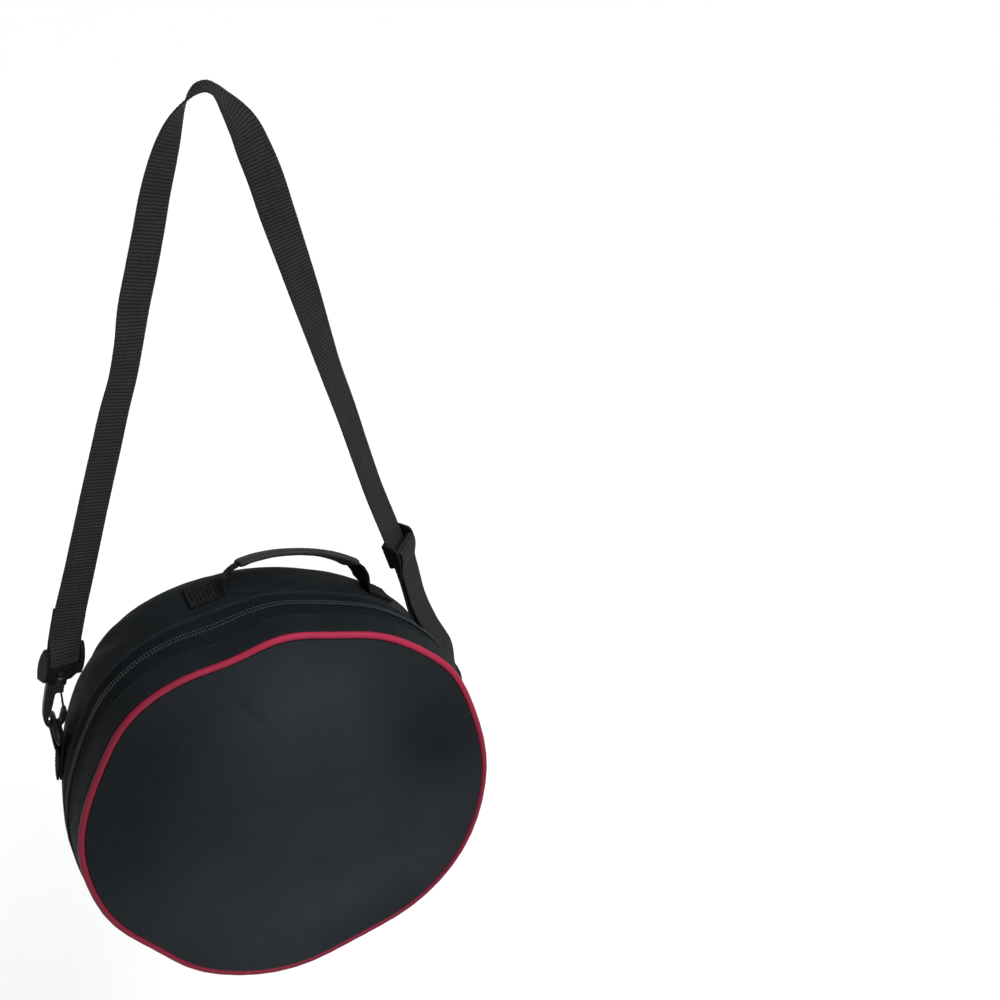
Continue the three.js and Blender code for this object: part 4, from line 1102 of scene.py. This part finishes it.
def handle_stitches():
    turn, angle, loose, at, wide = handle_line(GRIP_STEP)
    over = unit(np.cross(np.gradient(at, axis=0), wide))
    held = gripped(turn, 0.5)
    top = GAP + HANDLE_WEB + GRIP_GAP + GRIP_WALL - 0.3
    parts = stitches(at[held] + over[held] * top, over[held], 2.8, 0.9)
    for stretch in (-1, HANDLE_RIGHT):
        for t, s in cross_box(HANDLE_BOX_FAR * stretch, HANDLE_BOX_NEAR * stretch, HANDLE_BOX_HALF):
            line = gusset_point(HANDLE_AT + t, BELT_Y + s, GAP + HANDLE_WEB + THREAD_LIFT)
            parts += stitches(line, outward(HANDLE_AT + t), *SHORT_STITCH)
    return parts


sewn("handle_stitches", handle_stitches(), "webbing")

# %% [markdown]
# A lug is a short webbing loop, sewn to the gusset, that holds a D-ring by its straight side. Its path is
# drawn in a small plane of its own: one direction runs along the gusset, the other away from it. Each
# point is then laid on the curved gusset, so the loop bends with the cloth under it.

# %% Path of a lug
TAB_WEB = 1.8
TAB_LENGTH = 32
TAB_LOW = 1.25
LUG_REACH = 162
LUG_ANGLE = {"left": -84.7, "right": 84}
LUG_LIFT = {"left": 6.3, "right": 4.8}
RING_WIRE = 2.2
TAB_BEND = RING_WIRE + 1.5 * GAP + TAB_WEB / 2


def tab_point(theta, w, h, sewn_down):
    across = np.linspace(-WEB_WIDTH / 2, WEB_WIDTH / 2, 5)
    highest = np.max([gusset_radius(theta, BELT_Y + at) for at in across], axis=0)
    settle = (gusset_radius(theta, BELT_Y + w) - highest) * sewn_down
    point = outward(theta) * (highest + settle + GUSSET_WALL / 2 + h)[..., None]
    point[..., 1] = BELT_Y + w
    return point


def on_tab(side, s, w, h):
    # s runs down the gusset from the ring, w across the webbing, h away from the cloth
    angle = LUG_ANGLE[side]
    theta = angle + math.copysign(1, angle) * np.degrees(s / LUG_REACH)
    return theta, tab_point(theta, w, h, smooth((s - 3) / 12))


def tab_layer(side, s):
    return mix(LUG_LIFT[side] - TAB_BEND, TAB_LOW, smooth((s - 3) / 18))


def tab_path(side):
    lift, over = LUG_LIFT[side], TAB_WEB + GAP
    path = [(s, tab_layer(side, s)) for s in np.linspace(TAB_LENGTH, 3, 9)]
    turns = np.radians(np.linspace(-90, 75, 11))
    path += [(-TAB_BEND * math.cos(a), lift + TAB_BEND * math.sin(a)) for a in turns]
    path += [(s, mix(tab_layer(side, s) + over, lift + TAB_BEND, share))
             for s, share in ((3.4, 0.8), (7.5, 0.42), (11.5, 0.12))]
    path += [(s, tab_layer(side, s) + over) for s in np.linspace(15.5, TAB_LENGTH, 6)]
    return np.array([(s, h, 0) for s, h in path])


for side in LUG_ANGLE:
    print(side, "lug takes", round(run_of(smooth_line(tab_path(side), 0.5))[-1]), "mm of webbing")

# %% [markdown]
# The loop's section is carried along that path and laid on the gusset, so both of its layers follow the
# cloth. A swept strip of the usual kind would stay flat there. A box with two diagonals is sewn through
# both layers, as at the handle.

# %% Lugs
LUG_BOX = (16, 30, 9)
LUG_STEP = 0.5
LUG_RELIEF = 0.26


def lug(name, side):
    path = smooth_line(tab_path(side), LUG_STEP)
    section, face = web_section(WEB_WIDTH, TAB_WEB, 37)
    along = unit(np.gradient(path, axis=0))
    run = np.arange(len(path))[:, None] * LUG_STEP
    relief = pillows(run, section[None, :, 0])
    lifts = section[None, :, 1] + LUG_RELIEF * (relief - PILLOW_MEAN) * face
    s = path[:, :1] - along[:, 1:2] * lifts
    h = path[:, 1:2] + along[:, :1] * lifts
    w = np.broadcast_to(section[None, :, 0], s.shape)
    theta, points = on_tab(side, s, w, h)
    # the pillow height also paints shade into the colour: painted shade in the dips between pillows
    cloth = np.stack([np.broadcast_to(run, s.shape), w, relief], -1)
    return make_piece(name, to_row(points.reshape(-1, 3)), tube(*s.shape), cloth.reshape(-1, 3), belt_cloth)


def lug_stitches():
    parts = []
    for side in LUG_ANGLE:
        for s, w in cross_box(*LUG_BOX):
            theta, line = on_tab(side, s, w, tab_layer(side, s) + 1.5 * TAB_WEB + GAP + THREAD_LIFT)
            parts += stitches(line, outward(theta), *SHORT_STITCH)
    return parts


for side in LUG_ANGLE:
    settle_in(lug(side + "_lug", side), "webbing", "lug_tab_" + side)
sewn("lug_stitches", lug_stitches(), "webbing")

# %% [markdown]
# Where each ring, hook and strap bar sits follows from the lug's foot: the ring leans off the bag, the
# hook hangs in the ring's bow, and the strap's bar is at the hook's far end. Placing them by eye would
# leave gaps, so three axes and a point are worked out for each end of the strap.

# %% Places of the fittings
RING_HEIGHT = 12
BAR_REACH = 48.2
BAR_TURN = {"left": 30, "right": 122}
LEFT_HOOK_LEAN = math.radians(-3)
LEFT_HOOK_UP = np.array([math.sin(LEFT_HOOK_LEAN), 0, math.cos(LEFT_HOOK_LEAN)])
RIGHT_BAR_AIM = outward(60.0) * 156 + BACKWARD * BELT_Y
End = namedtuple("End", "ring_up ring_foot hook_up across thick ring_top bar")


def place_end(side, ring_lean, hook_up, bar_aim, gate_side):
    angle, lean = np.array(LUG_ANGLE[side]), math.radians(ring_lean)
    foot = tab_point(angle, np.array(0.0), np.array(LUG_LIFT[side]), 0)
    rise = upward(angle) * math.copysign(1, angle)
    ring_up = rise * math.cos(lean) + outward(angle) * math.sin(lean)
    ring_top = foot + ring_up * RING_HEIGHT
    hook_up = unit(bar_aim - ring_top) if hook_up is None else hook_up
    thick = -gate_side * BACKWARD
    across = unit(np.cross(hook_up, thick))
    return End(ring_up, foot, hook_up, across, thick, ring_top, ring_top + hook_up * BAR_REACH)


def turned(across, degrees):
    return across * math.cos(math.radians(degrees)) + BACKWARD * math.sin(math.radians(degrees))


ENDS = {"left": place_end("left", 28.8, LEFT_HOOK_UP, None, 1),
        "right": place_end("right", 17, None, RIGHT_BAR_AIM, -1)}
BAR_ALONG = {side: turned(end.across, BAR_TURN[side]) for side, end in ENDS.items()}
for side, end in ENDS.items():
    print(side, "strap bar at", to_row(end.bar).round(1))

# %% [markdown]
# A D-ring is a plastic wire bent to a straight side, two tight corners and a bow. A bevelled curve would
# do, and so does a circle swept along the outline: half of it is worked out and mirrored. The wire is a
# hair thinner than in the solid model, so that the hook can turn in it without touching.

# %% D-rings
RING_HALF_BAR = 13.2
RING_CORNER = 3.4
RING_SLACK = 0.1


def d_ring(name, end):
    corner = [(RING_HALF_BAR + RING_CORNER * math.sin(a), RING_CORNER - RING_CORNER * math.cos(a))
              for a in np.radians(np.linspace(0, 90, 5))]
    reach = RING_HALF_BAR + RING_CORNER
    bow = [(reach * math.cos(a), RING_CORNER + (RING_HEIGHT - RING_CORNER) * math.sin(a))
           for a in np.radians(np.linspace(0, 90, 9)[1:])]
    half = [(0, 0), (RING_HALF_BAR / 2, 0)] + corner + bow
    outline = half + [(-x, y) for x, y in half[-2::-1]]
    flat = smooth_line([(x, y, 0) for x, y in outline], 0.6)[:-1]
    axes = np.stack([BACKWARD, end.ring_up, np.cross(BACKWARD, end.ring_up)])
    wire = circle(20, RING_WIRE - RING_SLACK)
    points, faces, cloth = sweep(end.ring_foot + flat @ axes, axes[2], wire, closed=True)
    return make_piece(name, to_row(points), faces, cloth, moulded_plastic)


for side, end in ENDS.items():
    settle_in(d_ring(side + "_d_ring", end), "hardware", "d_ring_" + side)

# %% [markdown]
# The hooks, their bases and the adjuster are moulded in one shot, with soft edges everywhere. Bevels on
# so many meeting edges often fail. Simple prisms and rods that run into each other are fused by a voxel
# remesh instead, and a few smoothing steps then round every edge at once, as a mould does.

# %% Helpers for moulded fittings
ROD_AXES = {"x": [1, 0, 2], "y": [0, 1, 2], "z": [0, 2, 1]}


def prism(outline, thick):
    outline = np.asarray(outline, float)
    count = len(outline)
    points = np.concatenate([np.column_stack([outline, np.full(count, z)]) for z in (-thick / 2, thick / 2)])
    faces = [list(range(count))[::-1], list(range(count, 2 * count))]
    faces += [[k, (k + 1) % count, count + (k + 1) % count, count + k] for k in range(count)]
    return points, faces, 0 * points


def rod(profile, axis, sides=28):
    # Lathe: profile is (distance along the axis, radius)
    rings = [np.insert(circle(sides, r), 1, a, axis=1) for a, r in profile]
    points = np.concatenate(rings)[:, ROD_AXES[axis]]
    return points, tube(len(profile), sides), 0 * points


def moved(part, x, y, z):
    points, faces, cloth = part
    return points + np.array([x, y, z]), faces, cloth


def outward_faces(part):
    points, faces, cloth = part
    volume = 0
    for face in faces:
        for b, c in zip(face[1:], face[2:]):
            volume += points[face[0]] @ np.cross(points[b], points[c])
    return points, faces if volume > 0 else [f[::-1] for f in faces], cloth


def moulded(name, parts, axes, origin, finish, voxel=0.38, rounding=5):
    points, faces, cloth = joined([outward_faces(p) for p in parts])
    rough = make_piece(name + "_rough", points, faces, None, finish)
    remesh = rough.modifiers.new("fuse", "REMESH")
    remesh.mode = "VOXEL"
    remesh.voxel_size = voxel * MM
    soften = rough.modifiers.new("round", "SMOOTH")
    soften.factor = 0.5
    soften.iterations = rounding
    fused = bpy.data.meshes.new_from_object(rough.evaluated_get(bpy.context.evaluated_depsgraph_get()))
    bpy.data.objects.remove(rough)
    place = np.eye(4)
    place[:3, :3] = np.asarray(axes).T
    place[:3, 3] = np.asarray(origin) * MM
    fused.transform(Matrix(place.tolist()))
    fused.shade_smooth()
    fused.name = name
    piece = bpy.data.objects.new(name, fused)
    scene.collection.objects.link(piece)
    return piece


print("a rod of two rings has", len(rod([(0, 1), (1, 1)], "y")[1]), "faces")

# %% [markdown]
# The snap hook is a thick bow that narrows round the ring, with a thin spring gate closing its mouth, a
# headed post that turns in the base, and ribs that give a thumb some grip. Its outline is drawn in the
# hook's own plane, from the top of the ring, and given thickness: a plastic hook is flat, so a prism is
# closer to it than a bent tube.

# %% Snap hooks
HOOK_SHOULDER = 29.9
HOOK_THICK = 7
GATE_THICK = 3
POST_RADIUS = 2.4
HEAD_RADIUS = 4.2
BOW_RADIUS = 4.3
RIB_COUNT = 3


def hook(name, end):
    bow = [(-8.4, 27.5), (-8.6, 23), (-8.6, 16), (-8.4, 9), (-7.6, 2.6), (-6.1, -1.6), (-3.6, -4.8),
           (-0.6, -5.9), (2.6, -5.6), (6.2, -3.2), (8.3, 1.6), (8.7, 6.4), (8, 9.3), (6.6, 10), (5.3, 8.6),
           (4.7, 6)]
    outside = smooth_line([(x, y, 0) for x, y in bow], 1.0)[:, :2].tolist()
    inside = [(0.3 + BOW_RADIUS * math.cos(a), 1.2 + BOW_RADIUS * math.sin(a))
              for a in np.radians(np.linspace(0, -180, 13))]
    body = [(3.2, 24.4), (3.2, HOOK_SHOULDER), (-7.6, HOOK_SHOULDER)] + outside + inside
    body += [(-3.4, 4.2), (-2.7, 7.5), (-2.3, 12), (-2, 17), (-1.7, 22.2), (-1, 23.4), (1.7, 23.4)]
    gate = [(0.8, 26.5), (3.2, 26.5), (3, 24), (6.3, 11.6), (5.9, 10.6), (4.9, 10.6), (1.9, 23)]
    post = [(HOOK_SHOULDER - 3, POST_RADIUS), (BAR_REACH - 10.7, POST_RADIUS),
            (BAR_REACH - 10.7, HEAD_RADIUS), (BAR_REACH - 8.4, HEAD_RADIUS)]
    parts = [prism(body, HOOK_THICK), prism(gate, GATE_THICK), rod(post, "y")]
    for low in HOOK_SHOULDER - 5.6 + 1.9 * np.arange(RIB_COUNT):
        parts.append(prism([(-2.4, low), (3.9, low), (3.9, low + 0.9), (-2.4, low + 0.9)], HOOK_THICK + 0.9))
    axes = np.stack([end.across, end.hook_up, end.thick]) @ BAG_TURN.T
    return moulded(name, parts, axes, to_row(end.ring_top), moulded_plastic, 0.37, 4)


for side, end in ENDS.items():
    settle_in(hook(side + "_snap_hook", end), "hardware", "hook_" + side, body="hook_" + side)

# %% [markdown]
# The base is a frame: the strap goes round its top bar, two ears guard the strap's edges, and a collar
# holds the hook's post. It belongs to the bag's body and the hook to its own, so the collar has a real
# bore. Everything lies about the bar, so the bar's middle is the origin.

# %% Hook bases
COLLAR_RADIUS = 5.5
BORE_RADIUS = 2.8
BASE_THICK = 6
EAR_WIDTH = 3.3
BAR_RADIUS = 2.2


def hook_base(name, end, bar_along):
    ear_half = [(1.4, 12.4), (3.8, 7), (5.2, 0.5), (5.2, -6.5), (3.8, -12.4)]
    ear = ear_half + [(-x, y) for x, y in ear_half[::-1]]
    ear_at = WEB_WIDTH / 2 + 0.8 + EAR_WIDTH / 2
    cheek = [(ear_at, -4.9), (ear_at, -11.4), (8.5, -15.6), (5.6, -15.6), (5.6, -4.9)]
    sill = [(-6.2, -15.6), (6.2, -15.6), (6.2, -11.2), (-6.2, -11.2)]
    crossbar = [(-6.2, -6.4), (6.2, -6.4), (6.2, -4.9), (-6.2, -4.9)]
    collar = [(-18, BORE_RADIUS), (-18, COLLAR_RADIUS), (-17, COLLAR_RADIUS), (-16.6, COLLAR_RADIUS - 0.5),
              (-16, COLLAR_RADIUS - 0.5), (-15.6, COLLAR_RADIUS), (-13, COLLAR_RADIUS),
              (-11.2, COLLAR_RADIUS - 1.2), (-11.2, BORE_RADIUS)]
    parts = [prism(sill, BASE_THICK), prism(crossbar, BASE_THICK), rod(collar, "y"),
             rod([(-ear_at, BAR_RADIUS), (ear_at, BAR_RADIUS)], "x")]
    for side in (-1, 1):
        parts.append(prism([(side * x, y) for x, y in cheek], BASE_THICK))
        points, faces, cloth = prism(ear, EAR_WIDTH)
        parts.append(moved((points[:, [2, 1, 0]], faces, cloth), side * ear_at, 0, 0))
    axes = np.stack([bar_along, end.hook_up, np.cross(bar_along, end.hook_up)]) @ BAG_TURN.T
    return moulded(name, parts, axes, to_row(end.bar), moulded_plastic)


for side, end in ENDS.items():
    settle_in(hook_base(side + "_hook_base", end, BAR_ALONG[side]), "hardware", "hook_base_" + side)

# %% [markdown]
# The strap is one length of webbing. From its sewn end it goes round the left hook's bar, up over the
# hang point and down to the right hook's bar, and back up to the adjuster. A cloth simulation would have
# to be held at both bars and would still not hang this way, so a table gives the free run as the
# photograph shows it: place, and how far the webbing is turned out of the picture.

# %% Free run of the strap
STRAP_THICK = 1.6

Stop = namedtuple("Stop", "x z turn")
STRAP_RUN = [
    Stop(-130.2, -350, 20), Stop(-120, -320.5, 23), Stop(-110.4, -291.5, 25), Stop(-100.9, -263, 26),
    Stop(-91.2, -234.7, 27), Stop(-81.8, -207, 29), Stop(-73.5, -185, 32), Stop(-66.5, -161, 31),
    Stop(-61, -139, 25), Stop(-53.2, -114.3, 24), Stop(-45.4, -89, 26), Stop(-38.6, -66, 29),
    Stop(-32, -47.5, 34), Stop(-26.2, -33, 43), Stop(-20.8, -21.6, 56), Stop(-14.6, -12.2, 72),
    Stop(-7.6, -5.2, 86), Stop(0, -2.6, 98),
    Stop(6, -6.2, 108), Stop(11.3, -13, 121), Stop(16.8, -20.8, 137), Stop(22.2, -29.9, 153),
    Stop(27.4, -44.2, 168), Stop(33.5, -63.3, 175), Stop(39, -85.4, 175), Stop(46.3, -113, 166),
    Stop(53.9, -142, 158), Stop(61.4, -171.7, 148), Stop(69.2, -202.4, 140), Stop(78.4, -234.5, 138),
    Stop(87, -267.5, 136), Stop(96.3, -302, 135), Stop(102.6, -322, 135),
]


def strap_wide(along, turn):
    inside = np.stack([along[..., 2], 0 * along[..., 0], -along[..., 0]], -1)
    turn = np.radians(turn)[..., None]
    return inside * np.cos(turn) + BACKWARD * np.sin(turn)


def free_run():
    run = smooth_line([(stop.x, 0, stop.z, stop.turn) for stop in STRAP_RUN], 6)
    along = unit(np.gradient(run[:, :3], axis=0))
    return np.concatenate([run[:, :3], strap_wide(along, run[:, 3])], 1)


print("free run of", round(run_of(free_run())[-1]), "mm")

# %% [markdown]
# At the left the strap's end is folded round the hook's bar and sewn to itself. The fold is a flat path
# of two numbers: how far up from the bar, and how far behind the strap. The webbing's width turns from
# the bar's direction to that of the free run on the way.

# %% Sewn end of the strap
FOLD_LENGTH = 42
BAR_LOOP = BAR_RADIUS + GAP + STRAP_THICK / 2


def sewn_end():
    bar = to_row(ENDS["left"].bar)
    first = STRAP_RUN[0]
    rise = np.array([first.x, 0, first.z]) - bar
    length = np.linalg.norm(rise)
    up = rise / length
    wide_up = turned(np.array([up[2], 0, -up[0]]), first.turn)
    wide_bar = BAR_ALONG["left"] @ BAG_TURN.T
    behind = unit(np.cross(up, wide_up))
    close = STRAP_THICK + GAP
    flat = [(FOLD_LENGTH, close), (FOLD_LENGTH * 0.7, close), (17, close), (11, mix(close, BAR_LOOP, 0.35)),
            (5, mix(close, BAR_LOOP, 0.9))]
    flat += [(-BAR_LOOP * math.sin(a), BAR_LOOP * math.cos(a)) for a in np.radians(np.linspace(0, 180, 9))]
    flat += [(5, -BAR_LOOP * 0.88), (11, -BAR_LOOP * 0.4), (17, 0), (length * 0.55, 0), (length * 0.8, 0)]
    line = np.array([bar + up * a + behind * n for a, n in flat])
    share = np.array([smooth((a - 5) / 14) for a, n in flat])[:, None]
    return np.concatenate([line, unit(mix(wide_bar, wide_up, share))], 1)


print("sewn end of", round(run_of(sewn_end())[-1]), "mm")

# %% [markdown]
# At the right the strap is doubled: it runs under the adjuster down to the bar, round it, and back up to
# the adjuster's middle bar. Two layers that must not cross are hard to draw freely. So each is a distance
# from the straight line between adjuster and bar, and the outer one always keeps above the inner one.

# %% Doubled end of the strap
ADJUSTER = Stop(112, -352, 135)
ADJUSTER_AT = np.array([ADJUSTER.x, 0, ADJUSTER.z])
SLIDER_BAR = 1.6
SLIDER_LOOP = SLIDER_BAR + GAP + STRAP_THICK / 2
ADJUSTER_BAR_N = STRAP_THICK + GAP + SLIDER_LOOP + 2.6
INNER_SAG = 3
OUTER_BOW = 5
RIGHT_BAR_WIDE = BAR_ALONG["right"] @ BAG_TURN.T
doubled = to_row(ENDS["right"].bar) - ADJUSTER_AT
DOUBLED_LENGTH = np.linalg.norm(doubled)
DOUBLED_DOWN = doubled / DOUBLED_LENGTH


def doubled_station(a, n):
    # a runs down from the adjuster to the bar, n points away from the bag
    wide = strap_wide(DOUBLED_DOWN, np.array(ADJUSTER.turn))
    wide = unit(mix(wide, RIGHT_BAR_WIDE, smooth((a - 24) / (DOUBLED_LENGTH - 36))))
    normal = unit(np.cross(DOUBLED_DOWN, wide))
    return np.concatenate([ADJUSTER_AT + DOUBLED_DOWN * a + normal * n, wide])


def inner_layer(a):
    return -BAR_LOOP * smooth((a - 20) / (DOUBLED_LENGTH - 40)) - INNER_SAG * hump(a - 58, 24)


def outer_layer(a):
    close = inner_layer(a) + 2 * (STRAP_THICK + GAP)
    loose = BAR_LOOP + OUTER_BOW * hump(a - DOUBLED_LENGTH * 0.74, 20)
    low = mix(close, loose, smooth((a - 34) / (DOUBLED_LENGTH * 0.5)))
    return mix(ADJUSTER_BAR_N + SLIDER_LOOP, low, smooth(a / 22))


def doubled_end():
    low = ADJUSTER_BAR_N - SLIDER_LOOP
    flat = [(a, inner_layer(a)) for a in np.linspace(-16, DOUBLED_LENGTH - 6, 12)]
    flat += [(DOUBLED_LENGTH + BAR_LOOP * math.cos(t), BAR_LOOP * math.sin(t))
             for t in np.radians(np.linspace(-90, 90, 9))]
    flat += [(a, outer_layer(a)) for a in np.linspace(DOUBLED_LENGTH - 7, 6, 13)]
    flat += [(SLIDER_LOOP * math.cos(t), ADJUSTER_BAR_N + SLIDER_LOOP * math.sin(t))
             for t in np.radians(np.linspace(90, 270, 9))]
    tail = [(a, outer_layer(a) - STRAP_THICK - GAP) for a in (4, 8, 12, 17, 24)]
    flat += [(a, mix(low, n, smooth(a / 13))) for a, n in tail]
    return np.array([doubled_station(a, n) for a, n in flat])


print("adjuster", round(DOUBLED_LENGTH, 1), "mm from the right bar")

# %% [markdown]
# The three runs are joined to one smooth line, and the ribbed section is swept along it. An array of
# ribs on a curve would stretch at the folds, but here the ribs count the webbing's own length, so they
# keep their spacing. Three rows across and a cross of stitches hold the sewn end, whose front layer
# starts at the fold's fourteenth point.

# %% Strap
STRAP_STEP = 0.5
STRAP_RELIEF = 0.5
RIB_PITCH = 2.45
RIB_MEAN = 0.7
FRONT_LAYER = 13

strap_line = smooth_line(np.concatenate([sewn_end(), free_run(), doubled_end()]), STRAP_STEP)


def strap():
    section, face = web_section(WEB_WIDTH, STRAP_THICK, 9)
    run = np.arange(len(strap_line)) * STRAP_STEP
    rows = np.repeat(section[None], len(run), 0)
    relief = ribs(run[:, None], section[None, :, 0], RIB_PITCH)
    rows[..., 1] += STRAP_RELIEF * (relief - RIB_MEAN) * face
    # the rib height also paints shade into the colour: painted shade in the grooves between ribs
    points, faces, cloth = sweep(strap_line[:, :3], strap_line[:, 3:], rows, light=relief)
    return make_piece("shoulder_strap", points, faces, cloth, webbing_cloth)


def strap_stitches():
    line = smooth_line(sewn_end()[FRONT_LAYER:], STRAP_STEP)
    over = unit(np.cross(np.gradient(line[:, :3], axis=0), line[:, 3:]))
    run = np.arange(len(line)) * STRAP_STEP
    s = np.linspace(-WEB_WIDTH / 2 + 2, WEB_WIDTH / 2 - 2, 16)
    parts = []
    for from_run, to_run in ((19, 19), (21, 21), (38, 38), (19, 38), (38, 19)):
        k = np.searchsorted(run, np.linspace(from_run, to_run, 16)).clip(0, len(line) - 1)
        on_face = line[k, :3] + line[k, 3:] * s[:, None] + over[k] * (STRAP_THICK / 2 + 0.1)
        parts += stitches(on_face, over[k], *SHORT_STITCH)
    return parts


settle_in(strap(), "webbing", "strap")
sewn("strap_stitches", strap_stitches(), "webbing", place=np.asarray)
print("strap of", round(run_of(strap_line)[-1]), "mm")

# %% [markdown]
# The adjuster is a small plastic ladder: the strap's end is sewn round the middle bar, and the other
# layer runs under the two outer bars. It is put together from two rails and three bars in its own axes,
# with the strap's line as the first, and fused like the hooks.

# %% Adjuster
RAIL_THICK = 2


def adjuster():
    low = -STRAP_THICK / 2 - GAP
    top = ADJUSTER_BAR_N + SLIDER_BAR
    rail_half = [(10, low - 1.8), (11, low - 0.9), (10.8, low + 1.2), (7.4, top - 1.6), (4.2, top)]
    rail = rail_half + [(-x, y) for x, y in rail_half[::-1]]
    rail_at = WEB_WIDTH / 2 + 0.6 + RAIL_THICK / 2
    bar_half = WEB_WIDTH / 2 + 1.6
    end_bar = [(-1.6, -0.9), (1.6, -0.9), (1.6, 0.9), (-1.6, 0.9)]
    parts = [moved(rod([(-bar_half, SLIDER_BAR), (bar_half, SLIDER_BAR)], "z"), 0, ADJUSTER_BAR_N, 0)]
    for side in (-1, 1):
        parts.append(moved(prism(rail, RAIL_THICK), 0, 0, side * rail_at))
        bar = [(side * 9 + x, low - 0.9 + y) for x, y in end_bar]
        parts.append(prism(bar, 2 * bar_half))
    wide = doubled_station(0, 0)[3:]
    axes = np.stack([DOUBLED_DOWN, unit(np.cross(DOUBLED_DOWN, wide)), -wide])
    return moulded("ladder_adjuster", parts, axes, ADJUSTER_AT, moulded_plastic, 0.37, 4)


settle_in(adjuster(), "hardware", "strap_adjuster")

# %% [markdown]
# The zip slider is a little metal shoe with a bail and a pull, which rests at the zip's right end. Three
# flat prisms, stacked and fused, are enough at this size.

# %% Zip slider
SLIDER_ANGLE = np.array(104.5)
SLIDER_LIFT = 0.4 + GAP


def zip_slider():
    shoe = prism([(-4.6, -6), (4.6, -6), (5.4, 2), (3.6, 6.5), (-3.6, 6.5), (-5.4, 2)], 3.4)
    pull = prism([(-3.4, -4), (3.4, -4), (4.2, -22), (3, -25), (-3, -25), (-4.2, -22)], 1.8)
    bail = prism([(-2, -3.5), (2, -3.5), (2, 3), (-2, 3)], 3)
    parts = [moved(shoe, 0, 0, 1.7), moved(pull, 0, 0, 4.1), moved(bail, 0, 0, 4.2)]
    axes = np.stack([BACKWARD, upward(SLIDER_ANGLE), outward(SLIDER_ANGLE)]) @ BAG_TURN.T
    origin = to_row(gusset_point(SLIDER_ANGLE, ZIP_Y, SLIDER_LIFT))
    return moulded("zip_slider_shoe", parts, axes, origin, enamel, 0.26, 3)


settle_in(zip_slider(), "zip_slider", "zip_slider")

# %% [markdown]
